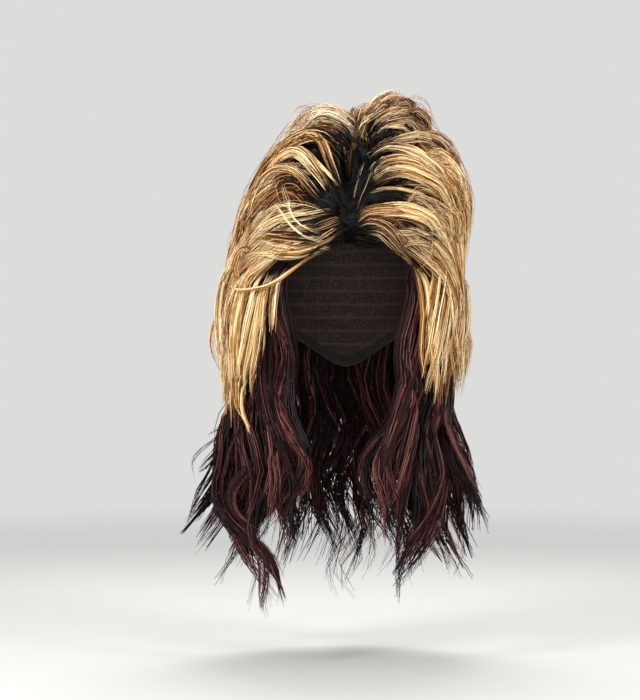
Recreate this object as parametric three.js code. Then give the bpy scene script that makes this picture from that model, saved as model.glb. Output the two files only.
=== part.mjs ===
// Cosplay wig in a long layered rocker cut, as it keeps its form when worn.
// A stretch cap with an elastic edge band carries two layers of hair: blond hair that
// sweeps from a centre parting over a teased crown and falls to chin level, and long
// dark hair that hangs from under it to the chest. Each lock is a solid of its outer form.
// Millimetres, +Z up, front towards -Y. Left in a name is the side at -X, as seen from the front.
// The origin is the inside of the cap's top, where the crown of the head seats.

import * as THREE from "three";
import { LoftGeometry } from "three/addons/geometries/LoftGeometry.js";

// Head that the cap is cut for
const HEAD_HALF_WIDTH = 77;
const HEAD_HALF_LENGTH = 99;
const HEAD_TOP = 95; // top of the head above its widest level
const HEAD_NAPE = 130; // same half-axis below the widest level, where the head narrows to the neck
const HEAD_CENTRE = new THREE.Vector3(0, 0, -HEAD_TOP);

// Cap and edge band
const CAP_WALL = 1.5;
const CAP_RINGS = 8;
const CAP_SIDES = 40;
const BAND_WIDTH = 9;
const BAND_WALL = 2.2;

// Gaps between pieces
const SEAM_GAP = 0.6;
const WEFT_SPACE = 1.3; // between the cap's outside and the inside of the crown's hair
const FLOW_GAP = 0.025; // share of the spacing between two combing lines

// Crown locks
const CROWN_FIRST = 0.06; // share of the combing line where a lock leaves the parting
const CROWN_ROWS = 9;
const CROWN_OUTER_POINTS = 7;
const CROWN_INNER_POINTS = 4;
const ROOT_LIFT = 0.3; // share of the full height that the hair has at its root
const EDGE_DENT = 0.18; // share of the height lost in the dent between two locks
const SETTLED_AT = 0.4; // share of the combing line where a raised lock is back on the crown's form

// Hanging locks
const LOCK_TOP = -HEAD_TOP - SEAM_GAP;
const LOCK_ROWS = 9;
const LOCK_SIDES = 9;
const LOCK_BELLY = 1.12; // widest part of a lock, as a share of its top
const LOCK_TIP = 0.16; // share of the width and depth left at the tip
const BLOND_TAPER_FROM = 0.5; // share of the length where a lock begins to narrow
const DARK_TAPER_FROM = 0.66;

// The cap's edge: its angle from straight up, at angles round the head from the front
const CAP_EDGE = [
  { azimuth: 0, polar: 50 },
  { azimuth: 40, polar: 60 },
  { azimuth: 62, polar: 76 },
  { azimuth: 74, polar: 92 },
  { azimuth: 86, polar: 97 },
  { azimuth: 108, polar: 90 },
  { azimuth: 142, polar: 115 },
  { azimuth: 180, polar: 128 },
];

// Outer form of the crown: distance from the head's centre, for even steps of the angle
// from straight up
const CROWN_FORM = [
  { polar: 0, front: 174, left: 174, right: 174, back: 174 },
  { polar: 15, front: 166, left: 171, right: 176, back: 172 },
  { polar: 30, front: 150, left: 143, right: 161, back: 164 },
  { polar: 45, front: 133, left: 133, right: 161, back: 158 },
  { polar: 60, front: 118, left: 121, right: 136, back: 152 },
  { polar: 75, front: 109, left: 115, right: 114, back: 148 },
  { polar: 90, front: 107, left: 119, right: 111, back: 146 },
];

// Combing lines, from the parting over the crown to the level of the head's centre.
// parting is the angle from straight up along the parting, towards the face; azimuth is
// where the line comes down.
const COMBING_LINES = [
  { parting: 61, azimuth: 62 },
  { parting: 54, azimuth: 78 },
  { parting: 40, azimuth: 92 },
  { parting: 22, azimuth: 106 },
  { parting: 2, azimuth: 124 },
  { parting: -14, azimuth: 152 },
  { parting: -17, azimuth: 179.4 },
];

// Crown locks between two neighbouring combing lines. height scales the crown's form near
// the parting; fullAt is the share of the combing line where the full height is reached.
const CROWN_LOCKS = [
  { name: "fringe_left", side: -1, line: 0, height: 1.0, fullAt: 0.36 },
  { name: "temple_sweep_left", side: -1, line: 1, height: 0.98, fullAt: 0.34 },
  { name: "crown_sweep_left", side: -1, line: 2, height: 1.02, fullAt: 0.3 },
  { name: "crown_puff_left", side: -1, line: 3, height: 1.02, fullAt: 0.18 },
  { name: "back_sweep_left", side: -1, line: 4, height: 0.99, fullAt: 0.18 },
  { name: "back_crown_left", side: -1, line: 5, height: 1.0, fullAt: 0.2 },
  { name: "fringe_right", side: 1, line: 0, height: 1.0, fullAt: 0.36 },
  { name: "temple_sweep_right", side: 1, line: 1, height: 0.98, fullAt: 0.34 },
  { name: "crown_sweep_right", side: 1, line: 2, height: 1.0, fullAt: 0.3 },
  { name: "crown_tuft_right", side: 1, line: 3, height: 1.13, fullAt: 0.2 },
  { name: "back_sweep_right", side: 1, line: 4, height: 1.02, fullAt: 0.18 },
  { name: "back_crown_right", side: 1, line: 5, height: 1.0, fullAt: 0.2 },
];

// Hanging locks: azimuth, in degrees from the front and positive towards +X, and
// radius from the head's axis, at four even stations from the top to the tip's level.
// halfWidth is in degrees and halfDepth in millimetres, both at the top.
const hanging = (name, azimuth, radius, tip, halfWidth, halfDepth) => (
  { name, azimuth, radius, tip, halfWidth, halfDepth }
);

// Blond locks that fall to chin level
const BLOND_LOCKS = [
  hanging("side_lock_left_1", [-58, -57, -60, -67], [101, 106, 110, 112], -232, 8, 6),
  hanging("side_lock_left_2", [-76, -75, -75, -79], [111, 116, 118, 114], -226, 8.6, 7),
  hanging("side_lock_left_3", [-95, -94, -94, -95], [114, 118, 118, 114], -214, 8.8, 7),
  hanging("side_lock_left_4", [-115, -115, -114, -112], [121, 124, 123, 118], -206, 9.4, 7.5),
  hanging("back_lock_left_1", [-136, -136, -135, -133], [134, 136, 134, 128], -214, 9.8, 8),
  hanging("back_lock_left_2", [-157.5, -157, -157, -156], [139, 141, 139, 133], -222, 9.8, 8),
  hanging("back_lock_centre", [180, 180, 180, 180], [140, 142, 140, 135], -228, 10, 8),
  hanging("back_lock_right_2", [157.5, 157, 157, 156], [139, 141, 139, 132], -220, 9.8, 8),
  hanging("back_lock_right_1", [136, 136, 135, 133], [132, 133, 131, 126], -212, 9.8, 8),
  hanging("side_lock_right_4", [115, 115, 114, 112], [116, 118, 117, 113], -204, 9.4, 7),
  hanging("side_lock_right_3", [95, 94, 93, 91], [107, 109, 109, 107], -206, 8.8, 6),
  hanging("side_lock_right_2", [76, 74, 72, 70], [106, 110, 109, 105], -214, 8.6, 6),
  hanging("side_lock_right_1", [58, 56, 53, 50], [99, 103, 102, 100], -222, 8, 5.5),
];

// Long dark locks of the under layer
const DARK_LOCKS = [
  hanging("under_lock_left_1", [-57, -50, -38, -40], [84, 80, 88, 98], -338, 8.6, 7),
  hanging("under_lock_left_2", [-76, -70, -64, -42], [93, 94, 108, 106], -404, 8.8, 7),
  hanging("under_lock_left_3", [-95.5, -92, -88, -87], [94, 95, 116, 156], -334, 9, 7),
  hanging("under_lock_left_4", [-115.5, -114, -109, -103], [100, 102, 116, 142], -352, 9.4, 7.5),
  hanging("under_lock_left_5", [-136.5, -136, -133, -128], [110, 112, 122, 132], -388, 9.8, 8),
  hanging("under_lock_left_6", [-158, -158, -156, -153], [115, 118, 126, 132], -400, 9.8, 8),
  hanging("under_lock_centre", [180, 180, 180, 180], [117, 120, 128, 134], -406, 10, 8),
  hanging("under_lock_right_6", [158, 158, 156, 153], [115, 118, 126, 132], -398, 9.8, 8),
  hanging("under_lock_right_5", [136.5, 136, 133, 128], [109, 111, 120, 130], -386, 9.8, 8),
  hanging("under_lock_right_4", [115.5, 114, 109, 102], [96, 98, 110, 130], -360, 9.4, 7),
  hanging("under_lock_right_3", [95.5, 92, 84, 78], [89, 90, 106, 136], -342, 9, 6.5),
  hanging("under_lock_right_2", [76, 69, 52, 31], [88, 88, 94, 96], -392, 8.8, 6.5),
  hanging("under_lock_right_1", [57, 48, 27, 12], [82, 78, 84, 92], -342, 8.6, 6.5),
];

const MATERIALS = {
  cap: new THREE.MeshStandardMaterial({ color: 0x2b211d, roughness: 0.9, metalness: 0 }),
  band: new THREE.MeshStandardMaterial({ color: 0x171412, roughness: 0.85, metalness: 0 }),
  blond: new THREE.MeshStandardMaterial({ color: 0xc9a066, roughness: 0.45, metalness: 0 }),
  dark: new THREE.MeshStandardMaterial({ color: 0x3a2220, roughness: 0.45, metalness: 0 }),
};

const radians = THREE.MathUtils.degToRad;
const lerp = THREE.MathUtils.lerp;
const smoothstep = THREE.MathUtils.smoothstep;

// Unit vector at an angle from straight up and an angle round the head from the front
function direction(polarDeg, azimuthDeg) {
  const polar = radians(polarDeg);
  const azimuth = radians(azimuthDeg);
  return new THREE.Vector3(
    Math.sin(polar) * Math.sin(azimuth),
    -Math.sin(polar) * Math.cos(azimuth),
    Math.cos(polar),
  );
}

// Point on a level below the crown, at an angle and a distance from the head's axis
function levelPoint(azimuthDeg, radius, level) {
  return direction(90, azimuthDeg).multiplyScalar(radius).setZ(level);
}

// Smooth value of a column of a table whose rows are evenly spaced; place runs from 0 to the last row
function smoothColumn(table, column, place) {
  const points = table.map((row, i) => new THREE.Vector2(i, row[column]));
  return new THREE.SplineCurve(points).getPoint(place / (table.length - 1)).y;
}

// Distance from the head's centre to the head's surface, moved out by an offset
function headRadius(towards, offset) {
  const vertical = (towards.z > 0 ? HEAD_TOP : HEAD_NAPE) + offset;
  return 1 / Math.hypot(
    towards.x / (HEAD_HALF_WIDTH + offset),
    towards.y / (HEAD_HALF_LENGTH + offset),
    towards.z / vertical,
  );
}

// Distance from the head's centre to the outside of the crown's hair
function crownRadius(towards) {
  const step = CROWN_FORM[1].polar - CROWN_FORM[0].polar;
  const place = THREE.MathUtils.radToDeg(Math.acos(towards.z)) / step;
  const level = Math.max(Math.hypot(towards.x, towards.y), Number.EPSILON);
  const sideways = (towards.x / level) ** 2;
  const sideColumn = towards.x < 0 ? "left" : "right";
  const endColumn = towards.y < 0 ? "front" : "back";
  return lerp(
    smoothColumn(CROWN_FORM, endColumn, place),
    smoothColumn(CROWN_FORM, sideColumn, place),
    sideways,
  );
}

// Angle from straight up of the cap's edge, the same on both sides
function capEdgePolar(azimuthDeg) {
  const round = Math.abs(((azimuthDeg + 540) % 360) - 180);
  const next = Math.max(1, CAP_EDGE.findIndex((row) => row.azimuth >= round));
  const low = CAP_EDGE[next - 1];
  const high = CAP_EDGE[next];
  return lerp(low.polar, high.polar, smoothstep(round, low.azimuth, high.azimuth));
}

// One ring round the cap: share 0 is its top and 1 its edge
function capRing(share, offset, beyondEdge = 0) {
  return Array.from({ length: CAP_SIDES }, (_, i) => {
    const azimuth = (i * 360) / CAP_SIDES;
    const edge = capEdgePolar(azimuth);
    const polar = edge * share + beyondEdge;
    const towards = direction(polar, azimuth);
    return towards.multiplyScalar(headRadius(towards, offset)).add(HEAD_CENTRE);
  });
}

// Stretch cap: its inner dome from the top to the edge, then its outer dome back up
function capGeometry() {
  const shares = Array.from({ length: CAP_RINGS + 1 }, (_, i) => i / CAP_RINGS);
  const inner = shares.map((share) => capRing(share, 0));
  const outer = shares.reverse().map((share) => capRing(share, CAP_WALL));
  return new LoftGeometry([...inner, ...outer]);
}

// Elastic edge band, a closed loop that follows the cap's edge
function bandGeometry() {
  const arc = (length) => THREE.MathUtils.radToDeg(length / HEAD_HALF_LENGTH);
  const top = arc(SEAM_GAP);
  const bottom = arc(SEAM_GAP + BAND_WIDTH);
  const inside = (CAP_WALL - BAND_WALL) / 2;
  const outside = inside + BAND_WALL;
  const first = capRing(1, inside, top);
  return new LoftGeometry([
    first,
    capRing(1, inside, bottom),
    capRing(1, outside, bottom),
    capRing(1, outside, top),
    first,
  ]);
}

// Direction from the head's centre to a point of a combing line; along is 0 at the parting
function combed(side, line, along) {
  const parting = smoothColumn(COMBING_LINES, "parting", line);
  const azimuth = smoothColumn(COMBING_LINES, "azimuth", line);
  const from = direction(parting, 0);
  const to = direction(90, side * azimuth);
  const turn = from.angleTo(to);
  return from
    .multiplyScalar(Math.sin((1 - along) * turn))
    .addScaledVector(to, Math.sin(along * turn))
    .normalize();
}

// Outer distance of a crown lock; across runs from -1 to 1 between its two combing lines
function crownLockRadius(towards, along, across, { height, fullAt }) {
  const scalp = headRadius(towards, CAP_WALL + WEFT_SPACE);
  const lift = lerp(ROOT_LIFT, 1, smoothstep(along, 0, fullAt));
  const settled = lerp(height, 1, smoothstep(along, fullAt, SETTLED_AT));
  const dent = 1 - EDGE_DENT * Math.abs(across) ** 3;
  return scalp + (crownRadius(towards) * settled - scalp) * lift * dent;
}

// Lock of the teased crown, from the parting down to the level of the head's centre
function crownLockGeometry(lock) {
  const { side, line } = lock;
  const pointOn = (along, across, outer) => {
    const place = line + 0.5 + across * (0.5 - FLOW_GAP);
    const towards = combed(side, place, along);
    const radius = outer
      ? crownLockRadius(towards, along, across, lock)
      : headRadius(towards, CAP_WALL + WEFT_SPACE);
    return towards.multiplyScalar(radius).add(HEAD_CENTRE);
  };
  const across = (count) => Array.from({ length: count }, (_, i) => lerp(-1, 1, i / (count - 1)));
  const sections = Array.from({ length: CROWN_ROWS + 1 }, (_, row) => {
    const along = lerp(CROWN_FIRST, 1, row / CROWN_ROWS);
    const ring = [
      ...across(CROWN_OUTER_POINTS).map((a) => pointOn(along, a, true)),
      ...across(CROWN_INNER_POINTS).reverse().map((a) => pointOn(along, a, false)),
    ];
    return side > 0 ? ring.reverse() : ring;
  });
  return new LoftGeometry(sections, { capStart: true, capEnd: true });
}

// Lock that hangs from under the crown, with an oval section that narrows to its tip
function hangingLockGeometry({ azimuth, radius, tip, halfWidth, halfDepth }, taperFrom) {
  const stations = azimuth.map(
    (angle, i) => new THREE.Vector3(angle, radius[i], lerp(LOCK_TOP, tip, i / (azimuth.length - 1))),
  );
  const route = new THREE.CatmullRomCurve3(stations, false, "catmullrom");
  const sections = Array.from({ length: LOCK_ROWS + 1 }, (_, row) => {
    const along = row / LOCK_ROWS;
    const at = route.getPoint(along);
    const belly = lerp(1, LOCK_BELLY, smoothstep(along, 0, taperFrom));
    const size = belly * lerp(1, LOCK_TIP, smoothstep(along, taperFrom, 1));
    return Array.from({ length: LOCK_SIDES }, (_, i) => {
      const round = (i * 2 * Math.PI) / LOCK_SIDES;
      const aside = halfWidth * size * Math.cos(round);
      const out = halfDepth * size * Math.sin(round);
      return levelPoint(at.x + aside, at.y + out, at.z);
    });
  });
  return new LoftGeometry(sections, { capStart: true, capEnd: true });
}

function piece(name, geometry, material) {
  const mesh = new THREE.Mesh(geometry, material);
  mesh.name = name;
  return mesh;
}

const wig = new THREE.Group();
wig.add(piece("cap", capGeometry(), MATERIALS.cap));
wig.add(piece("edge_band", bandGeometry(), MATERIALS.band));
for (const lock of CROWN_LOCKS) {
  wig.add(piece(lock.name, crownLockGeometry(lock), MATERIALS.blond));
}
for (const lock of BLOND_LOCKS) {
  wig.add(piece(lock.name, hangingLockGeometry(lock, BLOND_TAPER_FROM), MATERIALS.blond));
}
for (const lock of DARK_LOCKS) {
  wig.add(piece(lock.name, hangingLockGeometry(lock, DARK_TAPER_FROM), MATERIALS.dark));
}

export default wig;
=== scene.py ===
# %% [markdown]
# # A cosplay wig, combed strand by strand
# The frame holds every lock of the wig as a plain closed form. On the real wig each lock is a bundle
# of synthetic fibres sewn to a stretch cap, so each form is replaced here by combed strands. A wig has
# more fibres than a mesh should hold, so some seventeen thousand thicker tubes stand for them. They are
# plenty, as long as they follow the way the hair was teased and combed.

# %% Load the frame
import math

import bpy
import numpy as np
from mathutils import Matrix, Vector
from mathutils.bvhtree import BVHTree


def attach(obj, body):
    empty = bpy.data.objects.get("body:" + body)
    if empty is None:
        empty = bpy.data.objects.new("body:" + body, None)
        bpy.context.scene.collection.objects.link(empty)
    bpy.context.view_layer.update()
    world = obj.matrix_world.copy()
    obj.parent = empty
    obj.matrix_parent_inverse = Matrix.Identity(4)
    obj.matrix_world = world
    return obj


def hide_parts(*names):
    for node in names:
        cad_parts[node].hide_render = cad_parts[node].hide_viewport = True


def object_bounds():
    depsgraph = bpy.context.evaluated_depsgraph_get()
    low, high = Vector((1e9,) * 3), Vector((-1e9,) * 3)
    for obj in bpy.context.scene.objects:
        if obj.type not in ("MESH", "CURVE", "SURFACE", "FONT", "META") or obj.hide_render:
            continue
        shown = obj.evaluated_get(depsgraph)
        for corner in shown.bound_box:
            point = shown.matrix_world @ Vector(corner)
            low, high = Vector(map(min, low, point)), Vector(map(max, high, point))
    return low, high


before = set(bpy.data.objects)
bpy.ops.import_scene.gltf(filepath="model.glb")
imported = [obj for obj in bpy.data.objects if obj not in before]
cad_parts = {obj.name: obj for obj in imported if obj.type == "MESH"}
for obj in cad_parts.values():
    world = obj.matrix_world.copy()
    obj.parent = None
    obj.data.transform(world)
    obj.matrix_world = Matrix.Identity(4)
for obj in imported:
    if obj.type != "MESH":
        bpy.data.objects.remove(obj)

cad_box = [[float(value) for value in corner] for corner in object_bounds()]
MM = 0.001
print("frame:", len(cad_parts), "nodes, box in metres", cad_box)

# %% [markdown]
# ## Camera, light and floor
# The wig is seen straight from the front, from about the height of the cap's lower edge. A long lens
# keeps the near fringe and the far back hair in true proportion. The floor fades out into the pale
# surroundings, so no edge of it shows from any side.

# %% Camera
IMAGE_HEIGHT = 700
IMAGE_WIDTH = 640
MM_PER_PIXEL = 0.95
# Where the origin, the inside of the cap's top, lies in the image.
CAP_TOP_PIXEL = (347, 186)
LENS = 135.0
SENSOR = 36.0
# The upright plane in which a pixel has that size, in millimetres.
SCALE_PLANE_Y = -15.0

field_height = IMAGE_HEIGHT * MM_PER_PIXEL
camera_distance = field_height * LENS / SENSOR
camera_x = (IMAGE_WIDTH / 2 - CAP_TOP_PIXEL[0]) * MM_PER_PIXEL
camera_z = (CAP_TOP_PIXEL[1] - IMAGE_HEIGHT / 2) * MM_PER_PIXEL
camera_data = bpy.data.cameras.new("camera")
camera_data.lens = LENS
camera_data.sensor_width = SENSOR
camera = bpy.data.objects.new("camera", camera_data)
camera.location = (camera_x * MM, (SCALE_PLANE_Y - camera_distance) * MM, camera_z * MM)
camera.rotation_euler = (math.radians(90), 0, 0)
bpy.context.scene.collection.objects.link(camera)
bpy.context.scene.camera = camera
print("camera at", [round(value, 3) for value in camera.location])


# %% One function for colours and one for nodes
def linear(code):
    """An sRGB hex value such as #C99B55 as linear red, green, blue and alpha."""
    parts = [int(code[place:place + 2], 16) / 255 for place in (1, 3, 5)]
    return [p / 12.92 if p <= 0.04045 else ((p + 0.055) / 1.055) ** 2.4 for p in parts] + [1.0]


def node(tree, kind, inputs=None, **settings):
    """Add one node; an input takes a value, the socket that feeds it, or a node for its first output."""
    made = tree.nodes.new(kind)
    for name, value in settings.items():
        setattr(made, name, value)
    for key, value in (inputs or {}).items():
        if isinstance(value, bpy.types.Node):
            value = value.outputs[0]
        if isinstance(value, bpy.types.NodeSocket):
            tree.links.new(value, made.inputs[key])
        else:
            made.inputs[key].default_value = value
    return made


# %% Light
SURROUND = "#EDEDEB"
SURROUND_STRENGTH = 0.85
# Name, place in millimetres, size in millimetres, power in watts.
LAMPS = [
    ("key_left", (-1000, -1300, 600), 500, 28.0),
    ("key_right", (1100, -1200, 500), 500, 20.0),
    ("front_fill", (0, -2100, -60), 500, 10.0),
    ("top_back", (0, 700, 1000), 800, 20.0),
]
LAMP_AIM = Vector((0, 0, -120)) * MM

world = bpy.data.worlds.new("studio")
bpy.context.scene.world = world
world.use_nodes = True
background = world.node_tree.nodes["Background"]
background.inputs["Color"].default_value = linear(SURROUND)
background.inputs["Strength"].default_value = SURROUND_STRENGTH
for name, place, size, power in LAMPS:
    lamp_data = bpy.data.lights.new(name, "AREA")
    lamp_data.size = size * MM
    lamp_data.energy = power
    lamp = bpy.data.objects.new(name, lamp_data)
    lamp.location = Vector(place) * MM
    lamp.rotation_euler = (LAMP_AIM - lamp.location).to_track_quat("-Z", "Y").to_euler()
    bpy.context.scene.collection.objects.link(lamp)
bpy.context.scene.view_settings.view_transform = "Standard"
print("lamps:", [row[0] for row in LAMPS])

# %% Floor
FLOOR_DROP = 45.0
FLOOR_RADIUS = 2600.0
FLOOR_FADE_FROM = 700.0
FLOOR_COLOUR = "#B8B8B6"

floor_material = bpy.data.materials.new("painted_studio_floor")
floor_material.use_nodes = True
tree = floor_material.node_tree
tree.nodes.clear()
place = node(tree, "ShaderNodeTexCoord")
away = node(tree, "ShaderNodeVectorMath", {0: place.outputs["Object"]}, operation="LENGTH")
fade = node(tree, "ShaderNodeMapRange", {
    "Value": away.outputs["Value"], "From Min": FLOOR_FADE_FROM * MM, "From Max": FLOOR_RADIUS * MM,
}, interpolation_type="SMOOTHSTEP")
paint = node(tree, "ShaderNodeBsdfDiffuse", {"Color": linear(FLOOR_COLOUR)})
clear = node(tree, "ShaderNodeBsdfTransparent")
mixed = node(tree, "ShaderNodeMixShader", {0: fade, 1: paint, 2: clear})
node(tree, "ShaderNodeOutputMaterial", {"Surface": mixed})

floor_z = cad_box[0][2] - FLOOR_DROP * MM
far_side = FLOOR_RADIUS * MM
floor_mesh = bpy.data.meshes.new("floor")
floor_mesh.from_pydata(
    [(x * far_side, y * far_side, 0) for x, y in ((-1, -1), (1, -1), (1, 1), (-1, 1))], [], [(0, 1, 2, 3)])
floor_mesh.materials.append(floor_material)
floor = bpy.data.objects.new("floor", floor_mesh)
floor.location.z = floor_z
bpy.context.scene.collection.objects.link(floor)
print("floor at", round(floor_z, 3), "m")

# %% [markdown]
# ## Fibre materials
# The hair is a heat-set synthetic fibre: a smooth plastic thread with a satin gloss. Three numbers on
# each strand say how it was dyed: its shade from brown to pale blond, how ash or golden it is, and how
# much of the dark root colour it has at that point. On some locks the shade also holds painted
# highlight and painted shade. The mesh carries them, so they stay on the strand.

# %% Blond and dark fibre
GOLD_SHADES = [(0.0, "#1E0A03"), (0.2, "#54250A"), (0.42, "#9C5C20"), (0.64, "#D09544"), (1.0, "#FBE6B1")]
ASH_SHADES = [(0.0, "#1B0D07"), (0.2, "#4C2D1B"), (0.42, "#896745"), (0.64, "#BE9D71"), (1.0, "#F4E6C8")]
ROOT_COLOUR = "#050303"
# The palest dark shades stand partly for the gloss on the dark hair's waves: painted highlight.
DARK_SHADES = [(0.0, "#040102"), (0.35, "#140506"), (0.65, "#391718"), (1.0, "#85504A")]
FIBRE_IOR = 1.5
# Teasing leaves dull and shiny patches along a fibre: their size and depth in millimetres, and how far
# the roughness goes down and up in them.
GRAIN = 1.5
GRAIN_DEPTH = 0.1
SHINIER = 0.08
DULLER = 0.1


def started(name):
    """A new material, its node tree, its shader, and where each point lies on the object."""
    material = bpy.data.materials.new(name)
    material.use_nodes = True
    tree = material.node_tree
    place = node(tree, "ShaderNodeTexCoord").outputs["Object"]
    return material, tree, tree.nodes["Principled BSDF"], place


def fibre(name, shade_rows, roughness, gloss):
    """Heat-set synthetic fibre: smooth threads with a satin gloss along them, each dyed in its own shade."""
    material, tree, shader, place = started(name)
    shader.inputs["IOR"].default_value = FIBRE_IOR
    shader.inputs["Specular IOR Level"].default_value = gloss
    grain = node(tree, "ShaderNodeTexNoise", {"Vector": place, "Scale": 1 / (GRAIN * MM), "Detail": 2.0})
    dulled = node(tree, "ShaderNodeMapRange", {
        "Value": grain, "From Min": 0.3, "From Max": 0.7,
        "To Min": roughness - SHINIER, "To Max": roughness + DULLER,
    })
    bump = node(tree, "ShaderNodeBump", {"Height": grain, "Strength": 0.3, "Distance": GRAIN_DEPTH * MM})
    tree.links.new(dulled.outputs["Result"], shader.inputs["Roughness"])
    tree.links.new(bump.outputs["Normal"], shader.inputs["Normal"])
    shade = node(tree, "ShaderNodeAttribute", attribute_name="shade")
    colours = []
    for rows in shade_rows:
        ramp = node(tree, "ShaderNodeValToRGB", {"Fac": shade.outputs["Fac"]})
        stops = ramp.color_ramp.elements
        while len(stops) < len(rows):
            stops.new(0.5)
        for stop, (position, colour) in zip(stops, rows):
            stop.position = position
            stop.color = linear(colour)
        colours.append(ramp.outputs["Color"])
    if len(colours) == 2:
        ash = node(tree, "ShaderNodeAttribute", attribute_name="ash")
        dyed = node(tree, "ShaderNodeMix", {
            0: ash.outputs["Fac"], 6: colours[0], 7: colours[1],
        }, data_type="RGBA")
        root = node(tree, "ShaderNodeAttribute", attribute_name="root")
        rooted = node(tree, "ShaderNodeMix", {
            0: root.outputs["Fac"], 6: dyed.outputs[2], 7: linear(ROOT_COLOUR),
        }, data_type="RGBA")
        colours = [rooted.outputs[2]]
    tree.links.new(colours[0], shader.inputs["Base Color"])
    return material


blond_fibre = fibre("blond_synthetic_fibre", [GOLD_SHADES, ASH_SHADES], roughness=0.42, gloss=0.2)
dark_fibre = fibre("dark_synthetic_fibre", [DARK_SHADES], roughness=0.38, gloss=0.13)
print("fibres:", blond_fibre.name, dark_fibre.name)

# %% [markdown]
# ## The strand comb
# Every lock is described by a few guide lines. A Geometry Nodes tree copies each guide into a bundle,
# spreads the copies over the bundle's width and depth, lets them wander a little, cuts them to uneven
# lengths and gives each a thin three-sided tube. Blender's hair system could do this too, but its
# strands are not meshes, and these have to be a solid result in their own right. The tree is built in
# the next cells, one step in each.

# %% The comb's inputs, and what a guide tells it
COMB_INPUTS = [
    ("Guides", "NodeSocketGeometry"), ("Strand Width", "NodeSocketFloat"), ("Frizz", "NodeSocketFloat"),
    ("Frizz Length", "NodeSocketFloat"), ("Stray", "NodeSocketFloat"), ("Uneven Ends", "NodeSocketFloat"),
    ("Streakiness", "NodeSocketFloat"), ("Map Columns", "NodeSocketInt"), ("Map Rows", "NodeSocketInt"),
    ("Seed", "NodeSocketInt"), ("Fibre", "NodeSocketMaterial"),
]
# What a guide's points carry into the comb, and what the comb notes on each strand for its flat map.
VECTORS = ("reach_side", "reach_out")
COUNTS = ("strands", "steps")
NUMBERS = ("tone", "root_length", "shade_spread", "thick", "late_root")
NOTES = ("map_along", "map_strand", "map_round")
# Seeds for what is left to chance: places, strays, frizz, ends, roots and shades.
CHANCES = 7

comb = bpy.data.node_groups.new("strand_comb", "GeometryNodeTree")
for name, kind in COMB_INPUTS:
    comb.interface.new_socket(name, in_out="INPUT", socket_type=kind)
comb.interface.new_socket("Strands", in_out="OUTPUT", socket_type="NodeSocketGeometry")
comb_inputs = {item.name: item.identifier for item in comb.interface.items_tree if item.in_out == "INPUT"}
given = node(comb, "NodeGroupInput").outputs
along = node(comb, "GeometryNodeSplineParameter").outputs
strand = node(comb, "GeometryNodeCurveOfPoint").outputs["Curve Index"]
told = {}
for names, kind in ((VECTORS, "FLOAT_VECTOR"), (COUNTS, "INT"), (NUMBERS + NOTES, "FLOAT")):
    for name in names:
        told[name] = node(comb, "GeometryNodeInputNamedAttribute", {"Name": name}, data_type=kind)
seeds = []
for step in range(CHANCES):
    seeds.append(node(comb, "ShaderNodeMath", {0: given["Seed"], 1: float(step)}, operation="ADD"))
print("comb inputs:", list(comb_inputs))

# %% Copies of each guide
# Each copy takes its own place in an oval bundle.
lines = node(comb, "GeometryNodeMeshToCurve", {"Mesh": given["Guides"]})
copies = node(comb, "GeometryNodeDuplicateElements", {
    "Geometry": lines, "Amount": told["strands"],
}, domain="SPLINE")
sideways, inwards = [
    node(comb, "FunctionNodeRandomValue", {2: -1.0, 3: 1.0, "ID": strand, "Seed": seed}).outputs[1]
    for seed in seeds[:2]
]
squared = node(comb, "ShaderNodeMath", {0: sideways, 1: sideways}, operation="MULTIPLY")
left_over = node(comb, "ShaderNodeMath", {0: 1.0, 1: squared}, operation="SUBTRACT")
oval = node(comb, "ShaderNodeMath", {0: left_over, 1: 0.5}, operation="POWER")
deep = node(comb, "ShaderNodeMath", {0: inwards, 1: oval}, operation="MULTIPLY")
across, outward = [
    node(comb, "ShaderNodeVectorMath", {0: told[name], "Scale": share}, operation="SCALE")
    for name, share in (("reach_side", sideways), ("reach_out", deep))
]
bundle = node(comb, "ShaderNodeVectorMath", {0: across, 1: outward}, operation="ADD")
print("copies of a guide spread over its width and depth")

# %% Strays and frizz
# A few copies stray outwards towards their tips; the higher the power, the fewer. A slow noise along
# each strand, nearly still at the root, is the frizz left by teasing. Each strand reads it in its own row.
STRAY_POWER = 6.0
NOISE_ROW = 3.17
STILL_ROOT = 0.12

chance = node(comb, "FunctionNodeRandomValue", {2: 0.0, 3: 1.0, "ID": strand, "Seed": seeds[2]}).outputs[1]
rare = node(comb, "ShaderNodeMath", {0: chance, 1: STRAY_POWER}, operation="POWER")
far = node(comb, "ShaderNodeMath", {0: rare, 1: given["Stray"]}, operation="MULTIPLY")
loosened = node(comb, "ShaderNodeMath", {0: far, 1: along["Factor"], 2: 1.0}, operation="MULTIPLY_ADD")
spread = node(comb, "ShaderNodeVectorMath", {0: bundle, "Scale": loosened}, operation="SCALE")
travelled = node(comb, "ShaderNodeMath", {0: along["Length"], 1: given["Frizz Length"]}, operation="DIVIDE")
own_row = node(comb, "ShaderNodeMath", {0: strand, 1: NOISE_ROW}, operation="MULTIPLY")
noise_place = node(comb, "ShaderNodeCombineXYZ", {0: travelled, 1: own_row, 2: seeds[3]})
noise = node(comb, "ShaderNodeTexNoise", {
    "Vector": noise_place, "Scale": 1.0, "Detail": 2.0,
}).outputs["Color"]
centred = node(comb, "ShaderNodeVectorMath", {0: noise, 1: (0.5, 0.5, 0.5)}, operation="SUBTRACT")
growing = node(comb, "ShaderNodeMapRange", {"Value": along["Factor"], "To Min": STILL_ROOT, "To Max": 1.0})
sway = node(comb, "ShaderNodeMath", {0: growing, 1: given["Frizz"]}, operation="MULTIPLY")
wander = node(comb, "ShaderNodeVectorMath", {0: centred, "Scale": sway}, operation="SCALE")
offset = node(comb, "ShaderNodeVectorMath", {0: spread, 1: wander}, operation="ADD")
placed = node(comb, "GeometryNodeSetPosition", {"Geometry": copies, "Offset": offset})
print("strays and frizz move the copies")

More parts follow.
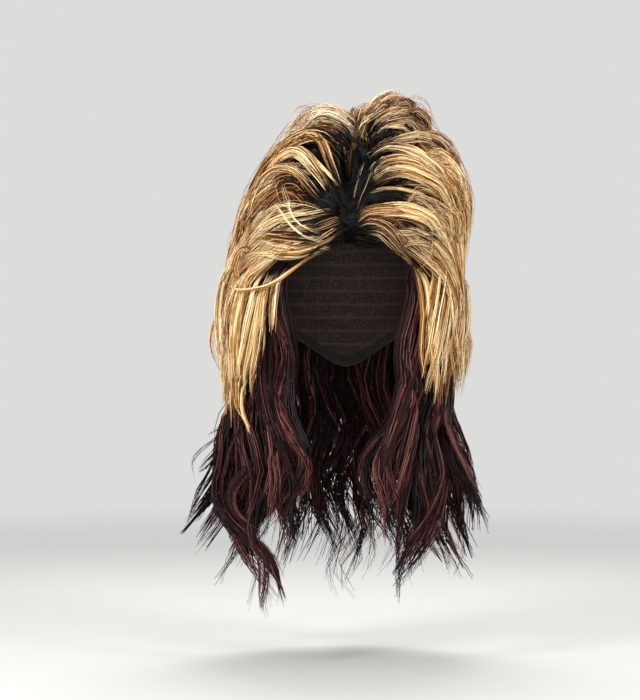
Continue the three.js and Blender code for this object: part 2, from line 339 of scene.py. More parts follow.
# %% Uneven ends
# Each strand begins a little late and ends a little early, and then gets an even count of points.
cut, late = [
    node(comb, "FunctionNodeRandomValue", {2: 0.0, 3: 1.0, "Seed": seed}).outputs[1] for seed in seeds[4:6]
]
lost = node(comb, "ShaderNodeMath", {0: cut, 1: given["Uneven Ends"]}, operation="MULTIPLY")
kept = node(comb, "ShaderNodeMath", {0: 1.0, 1: lost}, operation="SUBTRACT")
begun = node(comb, "ShaderNodeMath", {0: late, 1: told["late_root"]}, operation="MULTIPLY")
trimmed = node(comb, "GeometryNodeTrimCurve", {"Curve": placed, "Start": begun, "End": kept})
even = node(comb, "GeometryNodeResampleCurve", {"Curve": trimmed, "Count": told["steps"]})
print("ends cut unevenly")

# %% Dye
# Dark up to a length that differs a little on each strand, and after that a shade of its own with slow
# streaks along it.
# Shortest and longest dark root, as shares of the length that the guide tells.
SHORT_ROOT = 0.5
LONG_ROOT = 1.6
ROOT_FADES_FROM = 0.45
STREAK_SCALE = 0.8

reach = node(comb, "FunctionNodeRandomValue", {
    2: SHORT_ROOT, 3: LONG_ROOT, "ID": strand, "Seed": seeds[5],
}).outputs[1]
root_end = node(comb, "ShaderNodeMath", {0: told["root_length"], 1: reach}, operation="MULTIPLY")
root_start = node(comb, "ShaderNodeMath", {0: root_end, 1: ROOT_FADES_FROM}, operation="MULTIPLY")
root = node(comb, "ShaderNodeMapRange", {
    "Value": along["Length"], "From Min": root_start, "From Max": root_end, "To Min": 1.0, "To Max": 0.0,
}, interpolation_type="SMOOTHSTEP")
dip = node(comb, "FunctionNodeRandomValue", {2: -1.0, 3: 1.0, "ID": strand, "Seed": seeds[6]}).outputs[1]
own_shade = node(comb, "ShaderNodeMath", {
    0: dip, 1: told["shade_spread"], 2: told["tone"],
}, operation="MULTIPLY_ADD")
streak_place = node(comb, "ShaderNodeCombineXYZ", {0: travelled, 1: own_row, 2: seeds[6]})
streak = node(comb, "ShaderNodeTexNoise", {"Vector": streak_place, "Scale": STREAK_SCALE, "Detail": 1.0})
change = node(comb, "ShaderNodeMath", {0: streak, 1: 0.5}, operation="SUBTRACT")
shade = node(comb, "ShaderNodeMath", {
    0: change, 1: given["Streakiness"], 2: own_shade,
}, operation="MULTIPLY_ADD", use_clamp=True)
flow = even
for name, value in {
    "root": root, "shade": shade, "map_along": along["Factor"], "map_strand": strand,
}.items():
    flow = node(comb, "GeometryNodeStoreNamedAttribute", {
        "Geometry": flow, "Name": name, "Value": value,
    }, data_type="FLOAT", domain="POINT")
print("each strand has its root and shade")

# %% Tubes
# A three-sided tube that starts thin, is full over most of its length and runs out to a point.
ROOT_THICKNESS = 0.4
FULL_FROM = 0.15
FULL_TO = 0.7
TIP_THICKNESS = 0.22

half_width = node(comb, "ShaderNodeMath", {0: given["Strand Width"], 1: 0.5}, operation="MULTIPLY")
profile = node(comb, "GeometryNodeCurvePrimitiveCircle", {"Resolution": 3, "Radius": half_width})
marked = node(comb, "GeometryNodeStoreNamedAttribute", {
    "Geometry": profile, "Name": "map_round", "Value": along["Factor"],
}, data_type="FLOAT", domain="POINT")
to_tip = node(comb, "ShaderNodeMapRange", {
    "Value": along["Factor"], "From Min": FULL_TO, "From Max": 1.0, "To Min": 1.0, "To Max": TIP_THICKNESS,
})
from_root = node(comb, "ShaderNodeMapRange", {
    "Value": along["Factor"], "From Min": 0.0, "From Max": FULL_FROM, "To Min": ROOT_THICKNESS, "To Max": 1.0,
})
slim = node(comb, "ShaderNodeMath", {0: to_tip, 1: from_root}, operation="MULTIPLY")
thickness = node(comb, "ShaderNodeMath", {0: slim, 1: told["thick"]}, operation="MULTIPLY")
tubes = node(comb, "GeometryNodeCurveToMesh", {
    "Curve": flow, "Profile Curve": marked, "Scale": thickness, "Fill Caps": True,
})
print("tubes with", profile.inputs["Resolution"].default_value, "sides")

# %% Flat map and material
# A flat map with one cell for each strand, so that its dye can be baked without overlaps. The profile's
# last corner lies two thirds of the way round, so it is widened to fill its cell.
CELL_START = (0.1, 0.05)
CELL_SPAN = (1.2, 0.9)

column = node(comb, "ShaderNodeMath", {
    0: told["map_strand"], 1: given["Map Columns"],
}, operation="FLOORED_MODULO")
ratio = node(comb, "ShaderNodeMath", {0: told["map_strand"], 1: given["Map Columns"]}, operation="DIVIDE")
row = node(comb, "ShaderNodeMath", {0: ratio}, operation="FLOOR")
map_sides = []
for axis, (cell, share, total) in enumerate([
    (column, told["map_round"], given["Map Columns"]), (row, told["map_along"], given["Map Rows"]),
]):
    inside = node(comb, "ShaderNodeMath", {
        0: share, 1: CELL_SPAN[axis], 2: CELL_START[axis],
    }, operation="MULTIPLY_ADD")
    on_map = node(comb, "ShaderNodeMath", {0: cell, 1: inside}, operation="ADD")
    map_sides.append(node(comb, "ShaderNodeMath", {0: on_map, 1: total}, operation="DIVIDE"))
map_place = node(comb, "ShaderNodeCombineXYZ", {0: map_sides[0], 1: map_sides[1]})
mapped = node(comb, "GeometryNodeStoreNamedAttribute", {
    "Geometry": tubes, "Name": "OFBake", "Value": map_place,
}, data_type="FLOAT2", domain="CORNER")
smooth = node(comb, "GeometryNodeSetShadeSmooth", {0: mapped})
real = node(comb, "GeometryNodeRealizeInstances", {0: smooth})
coloured = node(comb, "GeometryNodeSetMaterial", {"Geometry": real, "Material": given["Fibre"]})
node(comb, "NodeGroupOutput", {0: coloured})
print("comb:", len(comb.nodes), "nodes")

# %% [markdown]
# ## Guides
# A guide is the middle line of one small bundle, with the bundle's half width and half depth along it.
# It could be drawn by hand in the viewport, but guides that are worked out from the frame's own locks
# keep to the forms that the frame gives.

# %% Lines and bundles
# Points on a guide, and points on each stretch between two stations before they are evened out.
GUIDE_POINTS = 22
CURVE_SAMPLES = 12
SHORTEST_ROOT = 0.5
# Points and rounds for rounding off the corners of a line.
RELAXED_POINTS = 36
RELAXED_ROUNDS = 14
# The point under the cap from which the crown's hair stands out, in millimetres.
HEAD_CENTRE = np.array([0.0, 0.0, -95.0])


def curve_through(stations, count):
    """A smooth line through the stations, as a Catmull-Rom curve sampled at even steps of length."""
    stations = np.asarray(stations, float)
    padded = np.vstack([2 * stations[0] - stations[1], stations, 2 * stations[-1] - stations[-2]])
    dense = []
    for a, b, c, d in zip(padded, padded[1:], padded[2:], padded[3:]):
        for t in np.linspace(0, 1, CURVE_SAMPLES, endpoint=False):
            dense.append(0.5 * (2 * b + (c - a) * t + (2 * a - 5 * b + 4 * c - d) * t**2
                                + (3 * b - a - 3 * c + d) * t**3))
    dense = np.array(dense + [stations[-1]])
    reach = np.concatenate([[0], np.cumsum(np.linalg.norm(np.diff(dense, axis=0), axis=1))])
    wanted = np.linspace(0, reach[-1], count)
    return np.column_stack([np.interp(wanted, reach, dense[:, axis]) for axis in range(dense.shape[1])])


def unit(vectors):
    return vectors / np.maximum(np.linalg.norm(vectors, axis=-1, keepdims=True), 1e-9)


def outwards(points):
    """Away from the head's middle above the ears, and away from the neck's axis below them."""
    axis = np.zeros_like(points)
    axis[:, 2] = np.minimum(points[:, 2], HEAD_CENTRE[2])
    return unit(points - axis)


def relaxed(stations):
    """Even points along the stations with the corners rounded off, the ends kept."""
    points = curve_through(stations, RELAXED_POINTS)
    for _ in range(RELAXED_ROUNDS):
        points[1:-1] = (points[:-2] + 2 * points[1:-1] + points[2:]) / 4
    return points


def guide(stations, width, depth, strands, tone, ash=0.15, root=0.0, spread=0.45, thick=1.0, steps=12,
          late=0.0):
    """One bundle; width and depth are half sizes in millimetres at its root, middle and tip."""
    points = curve_through(stations, GUIDE_POINTS)
    share = np.linspace(0, 1, GUIDE_POINTS)
    tangent = unit(np.gradient(points, axis=0))
    out = outwards(points)
    out = unit(out - tangent * np.sum(out * tangent, axis=1, keepdims=True))
    side = np.cross(tangent, out)
    half_width = np.interp(share, (0, 0.5, 1), width)[:, None]
    half_depth = np.interp(share, (0, 0.5, 1), depth)[:, None]
    return {
        "points": points, "reach_side": side * half_width, "reach_out": out * half_depth,
        "strands": int(strands), "steps": int(steps), "tone": tone, "ash": ash,
        "root_length": max(root, SHORTEST_ROOT), "shade_spread": spread, "thick": thick,
        "late_root": late,
    }


print("guides have", GUIDE_POINTS, "points")

# %% Make one combed piece
# Width of a strand and length of its frizz in millimetres, how far strays go, and how deep streaks are.
STRAND_WIDTH = 0.75
FRIZZ_LENGTH = 45.0
STRAY = 1.2
STREAKINESS = 0.7
# Strands and triangles of each piece, by the node that it replaces.
combed_sizes = {}


def guide_mesh(name, guides):
    """The guides as loose edges whose points carry what each guide tells the comb."""
    points = np.concatenate([row["points"] for row in guides]) * MM
    starts = np.arange(len(guides)) * GUIDE_POINTS
    edges = [(first + step, first + step + 1) for first in starts for step in range(GUIDE_POINTS - 1)]
    mesh = bpy.data.meshes.new(name)
    mesh.from_pydata(points.tolist(), edges, [])
    for label in VECTORS:
        values = np.concatenate([row[label] for row in guides]) * MM
        layer = mesh.attributes.new(label, "FLOAT_VECTOR", "POINT")
        layer.data.foreach_set("vector", values.astype(np.float32).ravel())
    for label in NUMBERS + ("ash",):
        scale = MM if label == "root_length" else 1.0
        values = np.repeat([row[label] * scale for row in guides], GUIDE_POINTS)
        mesh.attributes.new(label, "FLOAT", "POINT").data.foreach_set("value", values.astype(np.float32))
    for label in COUNTS:
        values = np.repeat([row[label] for row in guides], GUIDE_POINTS)
        mesh.attributes.new(label, "INT", "POINT").data.foreach_set("value", values.astype(np.int32))
    return mesh


def comb_piece(node_name, guides, fibre_material, seed, frizz, uneven, width=STRAND_WIDTH):
    """The comb as a modifier on the guides, and the result as a plain mesh that replaces its node."""
    name = f"{node_name}_hair"
    mesh = guide_mesh(name, guides)
    piece = bpy.data.objects.new(name, mesh)
    bpy.context.scene.collection.objects.link(piece)
    total = sum(row["strands"] for row in guides)
    columns = math.ceil(math.sqrt(total))
    modifier = piece.modifiers.new("comb", "NODES")
    modifier.node_group = comb
    for label, value in {
        "Strand Width": width * MM, "Frizz": frizz * MM, "Frizz Length": FRIZZ_LENGTH * MM, "Stray": STRAY,
        "Uneven Ends": uneven, "Streakiness": STREAKINESS, "Map Columns": columns,
        "Map Rows": math.ceil(total / columns), "Seed": seed, "Fibre": fibre_material,
    }.items():
        modifier[comb_inputs[label]] = value
    graph = bpy.context.evaluated_depsgraph_get()
    combed_mesh = bpy.data.meshes.new_from_object(
        piece.evaluated_get(graph), preserve_all_data_layers=True, depsgraph=graph)
    piece.modifiers.clear()
    piece.data = combed_mesh
    bpy.data.meshes.remove(mesh)
    combed_mesh.name = name
    for label in VECTORS + COUNTS + NUMBERS + NOTES:
        layer = combed_mesh.attributes.get(label)
        if layer:
            combed_mesh.attributes.remove(layer)
    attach(piece, "root")
    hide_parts(node_name)
    triangles = sum(len(face.vertices) - 2 for face in combed_mesh.polygons)
    combed_sizes[node_name] = (total, triangles)


print("strands are", STRAND_WIDTH, "mm wide at thickness 1")

# %% [markdown]
# ## Reading the frame's forms
# The crown's outer form is found by looking from far outside towards the head's middle and taking the
# first lock that is met. The hanging locks are lofted level by level, so their middle lines and half
# sizes can be read off their own points.

# %% Solids of the crown and the cap
CROWN_NAMES = ["fringe", "temple_sweep", "crown_sweep", "crown_top", "back_sweep", "back_crown"]
SIDES = {"left": -1.0, "right": 1.0}
CROWN_TOPS = {"left": "crown_puff_left", "right": "crown_tuft_right"}
CAP_NAMES = ["cap", "edge_band"]


def crown_node(name, side):
    return CROWN_TOPS[side] if name == "crown_top" else f"{name}_{side}"


def mesh_points(name):
    """A node's points in millimetres."""
    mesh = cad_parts[name].data
    co = np.empty(len(mesh.vertices) * 3)
    mesh.vertices.foreach_get("co", co)
    return co.reshape(-1, 3) / MM


def solid_tree(names):
    """A ray-casting tree over some of the frame's nodes, in millimetres."""
    points = []
    faces = []
    start = 0
    for name in names:
        rows = mesh_points(name)
        points.append(rows)
        faces += [[start + index for index in face.vertices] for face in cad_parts[name].data.polygons]
        start += len(rows)
    return BVHTree.FromPolygons(np.concatenate(points).tolist(), faces)


crown_nodes = [crown_node(name, side) for side in SIDES for name in CROWN_NAMES]
hair_nodes = [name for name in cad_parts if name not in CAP_NAMES]
crown_tree = solid_tree(crown_nodes)
front_tree = solid_tree(hair_nodes + CAP_NAMES)
cap_tree = solid_tree(CAP_NAMES)
print("crown:", len(crown_nodes), "of", len(hair_nodes), "locks")

# %% How far a form stands out
FAR = 400.0
# Rays beside the middle one, so that a narrow gap between two locks isn't taken for the form.
AIMS = [(0, 0), (0.03, 0), (-0.03, 0), (0, 0.03), (0, -0.03)]
# A direction that no ray is parallel to, to find the rays beside one.
SLANTING = (0.31, 0.52, 0.79)


def reach_of(tree, towards):
    """How far a form stands out from the head's middle in one direction."""
    best = 0.0
    sideways = unit(np.cross(towards, SLANTING))
    upwards = np.cross(towards, sideways)
    for a, b in AIMS:
        aim = unit(towards + a * sideways + b * upwards)
        hit = tree.ray_cast((HEAD_CENTRE + aim * FAR).tolist(), (-aim).tolist(), FAR)
        if hit[0]:
            best = max(best, FAR - hit[3])
    return best


straight_up = np.array([0.0, 0.0, 1.0])
print("cap and crown above the head's middle, in millimetres:",
      [round(reach_of(tree, straight_up)) for tree in (cap_tree, crown_tree)])

# %% Middle lines of the hanging locks
# A point this near to a level belongs to it, in millimetres.
LEVEL_TOLERANCE = 0.11


def read_lock(name):
    """Middle line, half width and half depth of a hanging lock from its levels, top to tip."""
    points = mesh_points(name)
    levels = np.unique(np.round(points[:, 2], 1))[::-1]
    rows = []
    for level in levels:
        ring = points[np.abs(points[:, 2] - level) < LEVEL_TOLERANCE]
        middle = (ring.min(0) + ring.max(0)) / 2
        out = unit(middle * (1, 1, 0))
        side = np.array([-out[1], out[0], 0])
        rows.append([*middle, np.abs((ring - middle) @ side).max(), np.abs((ring - middle) @ out).max()])
    return curve_through(rows, GUIDE_POINTS)


def azimuth_of(point):
    return math.degrees(math.atan2(point[0], -point[1]))


blond_hanging = [name for name in hair_nodes if name.startswith(("side_lock", "back_lock"))]
dark_hanging = [name for name in hair_nodes if name.startswith("under_lock")]
locks = {name: read_lock(name) for name in blond_hanging + dark_hanging}
around = sorted((azimuth_of(locks[name][0]), name) for name in blond_hanging)
print("hanging locks by azimuth:", [(round(azimuth), name) for azimuth, name in around])

# %% [markdown]
# ## Crown hair
# The hair was parted in the middle, teased up and swept to both sides. Its combing lines start on the
# parting and run out to ear level, where they fall into the hanging hair. Three layers of bundles,
# each a little lower than the last, give the depth that shows between the strands. The deeper layers
# are dyed darker, partly as painted shade deep in the hair.

# %% Combing lines
# Angle of the parting from the top of the head, and azimuth where the line comes down, in degrees.
COMBING_LINES = [(61, 62), (54, 78), (40, 92), (22, 106), (2, 124), (-14, 152), (-17, 179.4)]
line_index = np.arange(len(COMBING_LINES))


def direction(polar, azimuth):
    p, a = math.radians(polar), math.radians(azimuth)
    return np.array([math.sin(p) * math.sin(a), -math.sin(p) * math.cos(a), math.cos(p)])


def combed(sign, line, along):
    """The direction from the head's middle, a share of the way down one combing line."""
    parting = np.interp(line, line_index, [row[0] for row in COMBING_LINES])
    azimuth = np.interp(line, line_index, [row[1] for row in COMBING_LINES])
    start, end = direction(parting, 0), direction(90, sign * azimuth)
    angle = math.acos(np.clip(start @ end, -1, 1))
    return (math.sin((1 - along) * angle) * start + math.sin(along * angle) * end) / math.sin(angle)


print("combing lines:", len(COMBING_LINES))

# %% Where the crown falls into the hanging hair
# How much longer the blond layer is at the middle of the back, as a share of the frame's locks.
BACK_DROP = 0.32
# How far out in a hanging lock the crown's strands come to lie: 0 is its middle and 1 its outside.
FALL_LAYER = 0.75


def fall(azimuth, share):
    """A point on the blond hanging hair, between the two locks nearest that azimuth."""
    angles = [row[0] for row in around]
    place = np.searchsorted(angles, azimuth)
    low, high = around[place - 1], around[place % len(around)]
    gap = (high[0] - low[0]) % 360
    mix = ((azimuth - low[0]) % 360) / gap
    step = share * (GUIDE_POINTS - 1)
    first = min(int(step), GUIDE_POINTS - 2)
    part = step - first
    ends = []
    for _, name in (low, high):
        row = locks[name][first] * (1 - part) + locks[name][first + 1] * part
        ends.append(row[:3] + unit(row[:3] * (1, 1, 0)) * row[4] * FALL_LAYER)
    return ends[0] * (1 - mix) + ends[1] * mix


def cut_length(azimuth):
    """Length of the blond layer as a share of the frame's lock, longer towards the middle of the back."""
    return 1.0 + BACK_DROP * max(0.0, -math.cos(math.radians(azimuth))) ** 1.5


def streaked(turn):
    """Lighter and darker streaks a few bundles wide, as a slow change of tone round the head."""
    return 0.10 * math.sin(7 * turn + 1.3) + 0.08 * math.sin(17 * turn + 0.4)


print("blond length at the back:", round(cut_length(180), 2), "of the frame's locks")

# %% One combed line of the crown
# How far strands start above the cap, in millimetres.
SCALP_GAP = 2.0
# No strand starts nearer to the head's middle than this, where a ray misses the cap.
CROWN_SCALP = 80.0
# A strand that stands up is as high as the form is at this share of its line, beside the parting.
PARTING_EDGE = 0.16
CROWN_STATIONS = 16
# Combing lines are numbered from 0 to 6, and a strand keeps just inside them.
FIRST_LINE = 0.02
LAST_LINE = 5.98
# A strand has risen to the form in this share of its way; one that stands first takes longer.
RISE_SHARE = 0.18
STANDING_RISE = 0.5
STANDING_SHARE = 0.7
# A sweep keeps turning round the head while it falls: degrees a station, and shares of the fall.
MOST_TURN = 6.0
TURN_SHARE = 0.35
TURN_STEP = 0.12
TAIL_STATIONS = 6
# Stations nearer to each other than this would kink the line, in millimetres.
NEAREST_STATIONS = 2.0


def crown_guide(rng, sign, line, height, start, stop=1.0, tail=0.0, drift=0.1, stand=0.0, **bundle):
    """From the scalp up to the form and along it; stand is the share spent rising before it sweeps out."""
    stations = []
    wave = rng.uniform(0, 2 * math.pi)
    for progress in np.linspace(0, 1, CROWN_STATIONS):
        swept = max(0.0, (progress - STANDING_SHARE * stand) / (1 - STANDING_SHARE * stand))
        along = start + (stop - start) * swept
        place = np.clip(line + drift * math.sin(wave + 4.0 * progress), FIRST_LINE, LAST_LINE)
        towards = combed(sign, place, along)
        scalp = max(reach_of(cap_tree, towards), CROWN_SCALP) + SCALP_GAP
        edge = combed(sign, place, max(along, PARTING_EDGE)) if stand else towards
        form = max(reach_of(crown_tree, edge), scalp)
        rise = min(1.0, progress / (RISE_SHARE + STANDING_RISE * stand))
        rise = rise * (2 - rise)
        stations.append(HEAD_CENTRE + towards * (scalp + (form - scalp) * height * rise))
    if tail:
        azimuth = azimuth_of(stations[-1])
        turn = np.clip((azimuth - azimuth_of(stations[-2]) + 180) % 360 - 180, -MOST_TURN, MOST_TURN)
        shift = stations[-1] - fall(azimuth, 0.0)
        for share in np.linspace(0.0, tail * cut_length(azimuth), TAIL_STATIONS)[1:]:
            carried = turn * TURN_SHARE * (1 - math.exp(-share / TURN_SHARE)) / TURN_STEP
            stations.append(fall(azimuth + carried, share) + shift * max(0.0, 1 - share) ** 1.5)
    apart = [stations[0]]
    for before, station in zip(stations, stations[1:]):
        if np.linalg.norm(station - before) > NEAREST_STATIONS:
            apart.append(station)
    return guide(relaxed(apart), **bundle)


print("crown strands stay", SCALP_GAP, "mm off the cap")

# %% [markdown]
# The base coat is laid in three depths, like the wefts of the real cap: thick dark strands close to
# the scalp, dark partly as painted shade deep in the hair, then two coats of narrow bundles whose
# shades differ from one to the next. Pale streaks lie on top. Single hairs that stand off the form blur
# its outline, as teasing does.

# %% Coats of the crown
CROWN_COLUMNS = 11
# The rows from the top backwards stand up before they sweep out.
STANDING_FROM = 3
STANDING = 0.45
# Dark root length at the fringe, temple, crown, top, back and nape rows, in millimetres.
ROOT_LENGTHS = [80, 75, 70, 78, 36, 20]
# Height in the form, first and last root place, strands, points, tone, thickness, every how many columns.
# Deeper coats get darker tones, partly as painted shade deep in the hair.
CROWN_COATS = [
    (0.96, 0.02, 0.16, 17, 12, 0.5, 0.88, 1),
    (0.78, 0.06, 0.30, 10, 10, 0.30, 1.3, 1),
    (0.50, 0.15, 0.45, 10, 7, 0.10, 1.9, 2),
]
# A coat with bundles at every second column only has wider ones.
SPARSE_WIDER = 1.6
# The back has no black roots to show between its strands.
DEEPEST_BACK = 0.25


def crown_coats(rng, sign, line):
    """Three coats of bundles over one row of the crown."""
    standing = STANDING if line >= STANDING_FROM else 0.0
    darkest = DEEPEST_BACK if line > STANDING_FROM else 0
    for height, first, last, strands, steps, tone, thick, skip in CROWN_COATS:
        for column in range(0, CROWN_COLUMNS, skip):
            middle = line + (column + 0.5 + rng.uniform(-0.4, 0.4)) / CROWN_COLUMNS
            half = rng.uniform(2.6, 5.0) * (SPARSE_WIDER if skip > 1 else 1.0)
            yield crown_guide(
                rng, sign, middle, height * rng.uniform(0.92, 1.05),
                rng.uniform(0.01, 0.1) if standing else rng.uniform(first, last),
                stop=rng.uniform(0.84, 1.0), tail=0.2 + 0.85 * rng.beta(1.4, 1.6),
                drift=rng.uniform(0.04, 0.2), stand=standing * rng.uniform(0.4, 1.0),
                width=(half * 0.8, half, half * 0.6), depth=(1.2, 2.6, 1.6), strands=strands, steps=steps,
                tone=max(tone, darkest) + rng.uniform(-0.2, 0.23) + streaked(middle + sign),
                ash=rng.uniform(0.0, 0.55), root=ROOT_LENGTHS[line] * rng.uniform(0.7, 1.3), thick=thick)


print("crown coats:", len(CROWN_COATS), "with up to", CROWN_COLUMNS, "bundles a row")

# %% Filling, streaks and single hairs of the crown
# Filling behind the standing puff and tuft, so that nothing shows through them.
FILL_COLUMNS = 6
FILL_BUNDLE = {
    "width": (4.0, 6.0, 4.0), "depth": (2.0, 4.0, 2.0), "strands": 10, "steps": 8, "thick": 2.0,
}
STREAKS = 6
STREAK_BUNDLE = {"depth": (0.8, 1.4, 0.6), "strands": 10, "spread": 0.3}
# Hairs that stand off the form.
FLYAWAYS = 28
FLYAWAY_BUNDLE = {
    "width": (1.0, 3.0, 6.0), "depth": (0.5, 1.5, 3.0), "strands": 2, "steps": 14, "thick": 0.45,
}
# Black hairs low in the valley of the parting.
VALLEY_HAIRS = 7
VALLEY_BUNDLE = {
    "width": (3.0, 5.0, 4.0), "depth": (1.0, 3.0, 3.0), "strands": 7, "steps": 7, "tone": 0.2, "root": 200.0,
    "thick": 1.4,
}


def crown_extras(rng, sign, line):
    """What lies behind and on the coats of one row of the crown."""
    root = ROOT_LENGTHS[line]
    for column in range(FILL_COLUMNS if line == STANDING_FROM else 0):
        yield crown_guide(
            rng, sign, line + 0.45 + 0.1 * column, rng.uniform(0.55, 0.85), rng.uniform(0.05, 0.2),
            tone=rng.uniform(0.25, 0.45), root=root * 0.6, **FILL_BUNDLE)
    for _ in range(STREAKS):
        half = rng.uniform(1.2, 3.0)
        yield crown_guide(
            rng, sign, line + rng.uniform(0.05, 0.95), rng.uniform(0.98, 1.03), rng.uniform(0.08, 0.3),
            stop=rng.uniform(0.84, 1.0), tail=rng.uniform(0.05, 0.7), drift=rng.uniform(0.1, 0.25),
            width=(half * 0.7, half, half * 0.4), tone=rng.uniform(0.7, 0.92), ash=rng.uniform(0.0, 0.7),
            root=root * 0.5, **STREAK_BUNDLE)
    for _ in range(FLYAWAYS):
        yield crown_guide(
            rng, sign, line + rng.uniform(0.0, 1.0), rng.uniform(1.0, 1.09), rng.uniform(0.05, 0.5),
            stop=rng.uniform(0.7, 1.0), drift=rng.uniform(0.2, 0.45), tone=rng.uniform(0.4, 0.8),
            ash=rng.uniform(0.2, 0.9), root=root * 0.4, **FLYAWAY_BUNDLE)
    for _ in range(VALLEY_HAIRS if line <= STANDING_FROM else 0):
        yield crown_guide(
            rng, sign, line + rng.uniform(0.0, 1.0), rng.uniform(0.3, 0.75), rng.uniform(-0.08, 0.02),
            stop=rng.uniform(0.3, 0.5), drift=rng.uniform(0.2, 0.5), **VALLEY_BUNDLE)


print("a row has", STREAKS, "streaks and", FLYAWAYS, "flyaways")

# %% All guides of the crown
# Each row of each side counts on from these seeds, so that no two are alike.
CROWN_SEEDS = {"left": 100, "right": 150}

crown_guides = {}
for side, sign in SIDES.items():
    for line, name in enumerate(CROWN_NAMES):
        rng = np.random.default_rng(CROWN_SEEDS[side] + line)
        rows = list(crown_coats(rng, sign, line))
        rows += list(crown_extras(rng, sign, line))
        crown_guides[crown_node(name, side)] = rows
print("crown guides:", {name: len(rows) for name, rows in crown_guides.items()})

# %% [markdown]
# ## Hanging hair
# The blond side hair is cut in straight, layered bundles down to the chin, and the dark hair under it
# reaches the chest in long waves. Both are sewn to the cap higher up, under the crown's sweeps.

# %% One combed line of a hanging lock
# How wide a lock's bundles still lie at its tip, as a share of its greatest width.
TIP_SHARE = 0.6
# Where along a lock its waves have which size: none at the top and most at the tip. They swing out and
# in by a share of their swing to the sides.
SWING_AT = (0, 0.4, 0.75, 1)
SWING = (0, 1, 1, 1.5)
OUTWARD_SWING = 0.6
# No hanging strand starts nearer to the head's middle than this.
HANGING_SCALP = 76.0
# The way along the scalp ends near this angle from the top of the head, where the lock begins.
LEVEL_POLAR = 88
SCALP_STATIONS = 4


def hanging_guide(name, place, layer, polar, foot, tuck, lean, wave, **bundle):
    """From the scalp down one line of a hanging lock; wave is its waves' size, length and phase."""
    rows = locks[name]
    middle, half_width, half_depth = rows[:, :3], rows[:, 3:4], rows[:, 4:5]
    half_width = np.maximum(half_width, half_width.max() * TIP_SHARE)
    out = unit(middle * (1, 1, 0))
    side = np.column_stack([-out[:, 1], out[:, 0], np.zeros(len(out))])
    fallen = (middle[0, 2] - middle[:, 2])[:, None]
    layer = layer - tuck * np.clip(1 - 2 * fallen / fallen.max(), 0, 1)
    line = middle + side * half_width * place + out * half_depth * layer
    swing = np.interp(fallen / fallen.max(), SWING_AT, SWING) * wave[0]
    turn = 2 * math.pi * fallen / wave[1] + wave[2]
    line = line + side * swing * np.sin(turn)
    line = line + out * OUTWARD_SWING * swing * np.cos(turn)
    line = line + side * lean * (fallen / fallen.max()) ** 2
    azimuth = azimuth_of(line[0])
    top_reach = np.linalg.norm(line[0] - HEAD_CENTRE)
    stations = []
    for share in np.linspace(0, 1, SCALP_STATIONS + 1)[:-1]:
        towards = direction(polar + (LEVEL_POLAR - polar) * share, azimuth)
        scalp = max(reach_of(cap_tree, towards), HANGING_SCALP) + SCALP_GAP
        stations.append(HEAD_CENTRE + towards * (scalp + (top_reach - scalp) * share**1.3))
    last = min(int(round(foot * (GUIDE_POINTS - 1))), GUIDE_POINTS - 1)
    stations += list(line[:last + 1])
    if foot > 1:
        stations.append(line[-1] + (line[-1] - line[-2]) * (foot - 1) * (GUIDE_POINTS - 1))
    return guide(stations, **bundle)


print("hanging locks to comb:", len(locks))

# %% Coats of the hanging hair
# Length of the under layer's waves, and the azimuth up to which a lock counts as a front lock.
WAVE_LENGTH = 108.0
FRONT_AZIMUTH = 90.0
# The foremost blond locks are cut shorter on their inner side, as a share of their length.
INNER_TAPER = {"side_lock_left_1": 0.5, "side_lock_right_1": 0.2}
# Layer, places across, shortest length share, strands, points, tone, thickness.
# Inner coats get darker tones, partly as painted shade deep in the lock.
BLOND_COATS = [(0.5, 8, 0.5, 15, 10, 0.66, 0.9), (-0.3, 4, 0.6, 14, 8, 0.48, 1.7)]
DARK_COATS = [
    (0.55, 7, 0.76, 16, 14, 0.5, 1.0),
    (-0.5, 5, 0.78, 12, 12, 0.35, 1.2),
    (0.0, 7, 0.84, 12, 8, 0.12, 2.8),
]
# Bundles lie side by side and overlap by this much.
BUNDLE_OVERLAP = 1.3
HANGING_SEED = 300


def hanging_coats(rng, name):
    """Coats of bundles side by side over one hanging lock."""
    blond = name in blond_hanging
    size, depth = (float(locks[name][:, column].max()) for column in (3, 4))
    azimuth = azimuth_of(locks[name][0])
    inner = -math.copysign(1, azimuth)
    taper = INNER_TAPER.get(name, 0)
    own_length = 1.0
    if blond and abs(azimuth) > FRONT_AZIMUTH:
        own_length = cut_length(azimuth) * rng.uniform(0.85, 1.1)
    for layer, places, shortest, strands, steps, tone, thick in BLOND_COATS if blond else DARK_COATS:
        half = size * (BUNDLE_OVERLAP / places)
        for place in np.linspace(-1.05, 1.05, places):
            swing = rng.uniform(2.0, 6.0) if blond else rng.uniform(7.0, 13.0)
            yield hanging_guide(
                name, place + rng.uniform(-0.08, 0.08), layer + rng.uniform(-0.3, 0.3),
                rng.uniform(60, 72) if blond else rng.uniform(70, 80),
                own_length * rng.uniform(shortest, 1.0) * (1 - taper * max(0, inner * place)),
                tuck=1.0 if blond else 0.0, lean=rng.uniform(-10, 10),
                wave=(swing, rng.uniform(0.92, 1.08) * WAVE_LENGTH,
                      math.radians(azimuth) + rng.uniform(-0.4, 0.4)),
                width=(half, half, half * 0.55), depth=(2.0, depth * 0.35, 2.0),
                spread=0.32 if blond else 0.45, strands=strands, steps=steps,
                tone=tone + rng.uniform(-0.22, 0.27) + streaked((azimuth + 8 * place) / 30),
                ash=rng.uniform(0.0, 0.5), root=rng.uniform(20, 45) if blond else 0.0, thick=thick)


hanging_guides = {}
for order, name in enumerate(locks):
    hanging_guides[name] = list(hanging_coats(np.random.default_rng(HANGING_SEED + order), name))
print("hanging guides:", sum(len(rows) for rows in hanging_guides.values()))
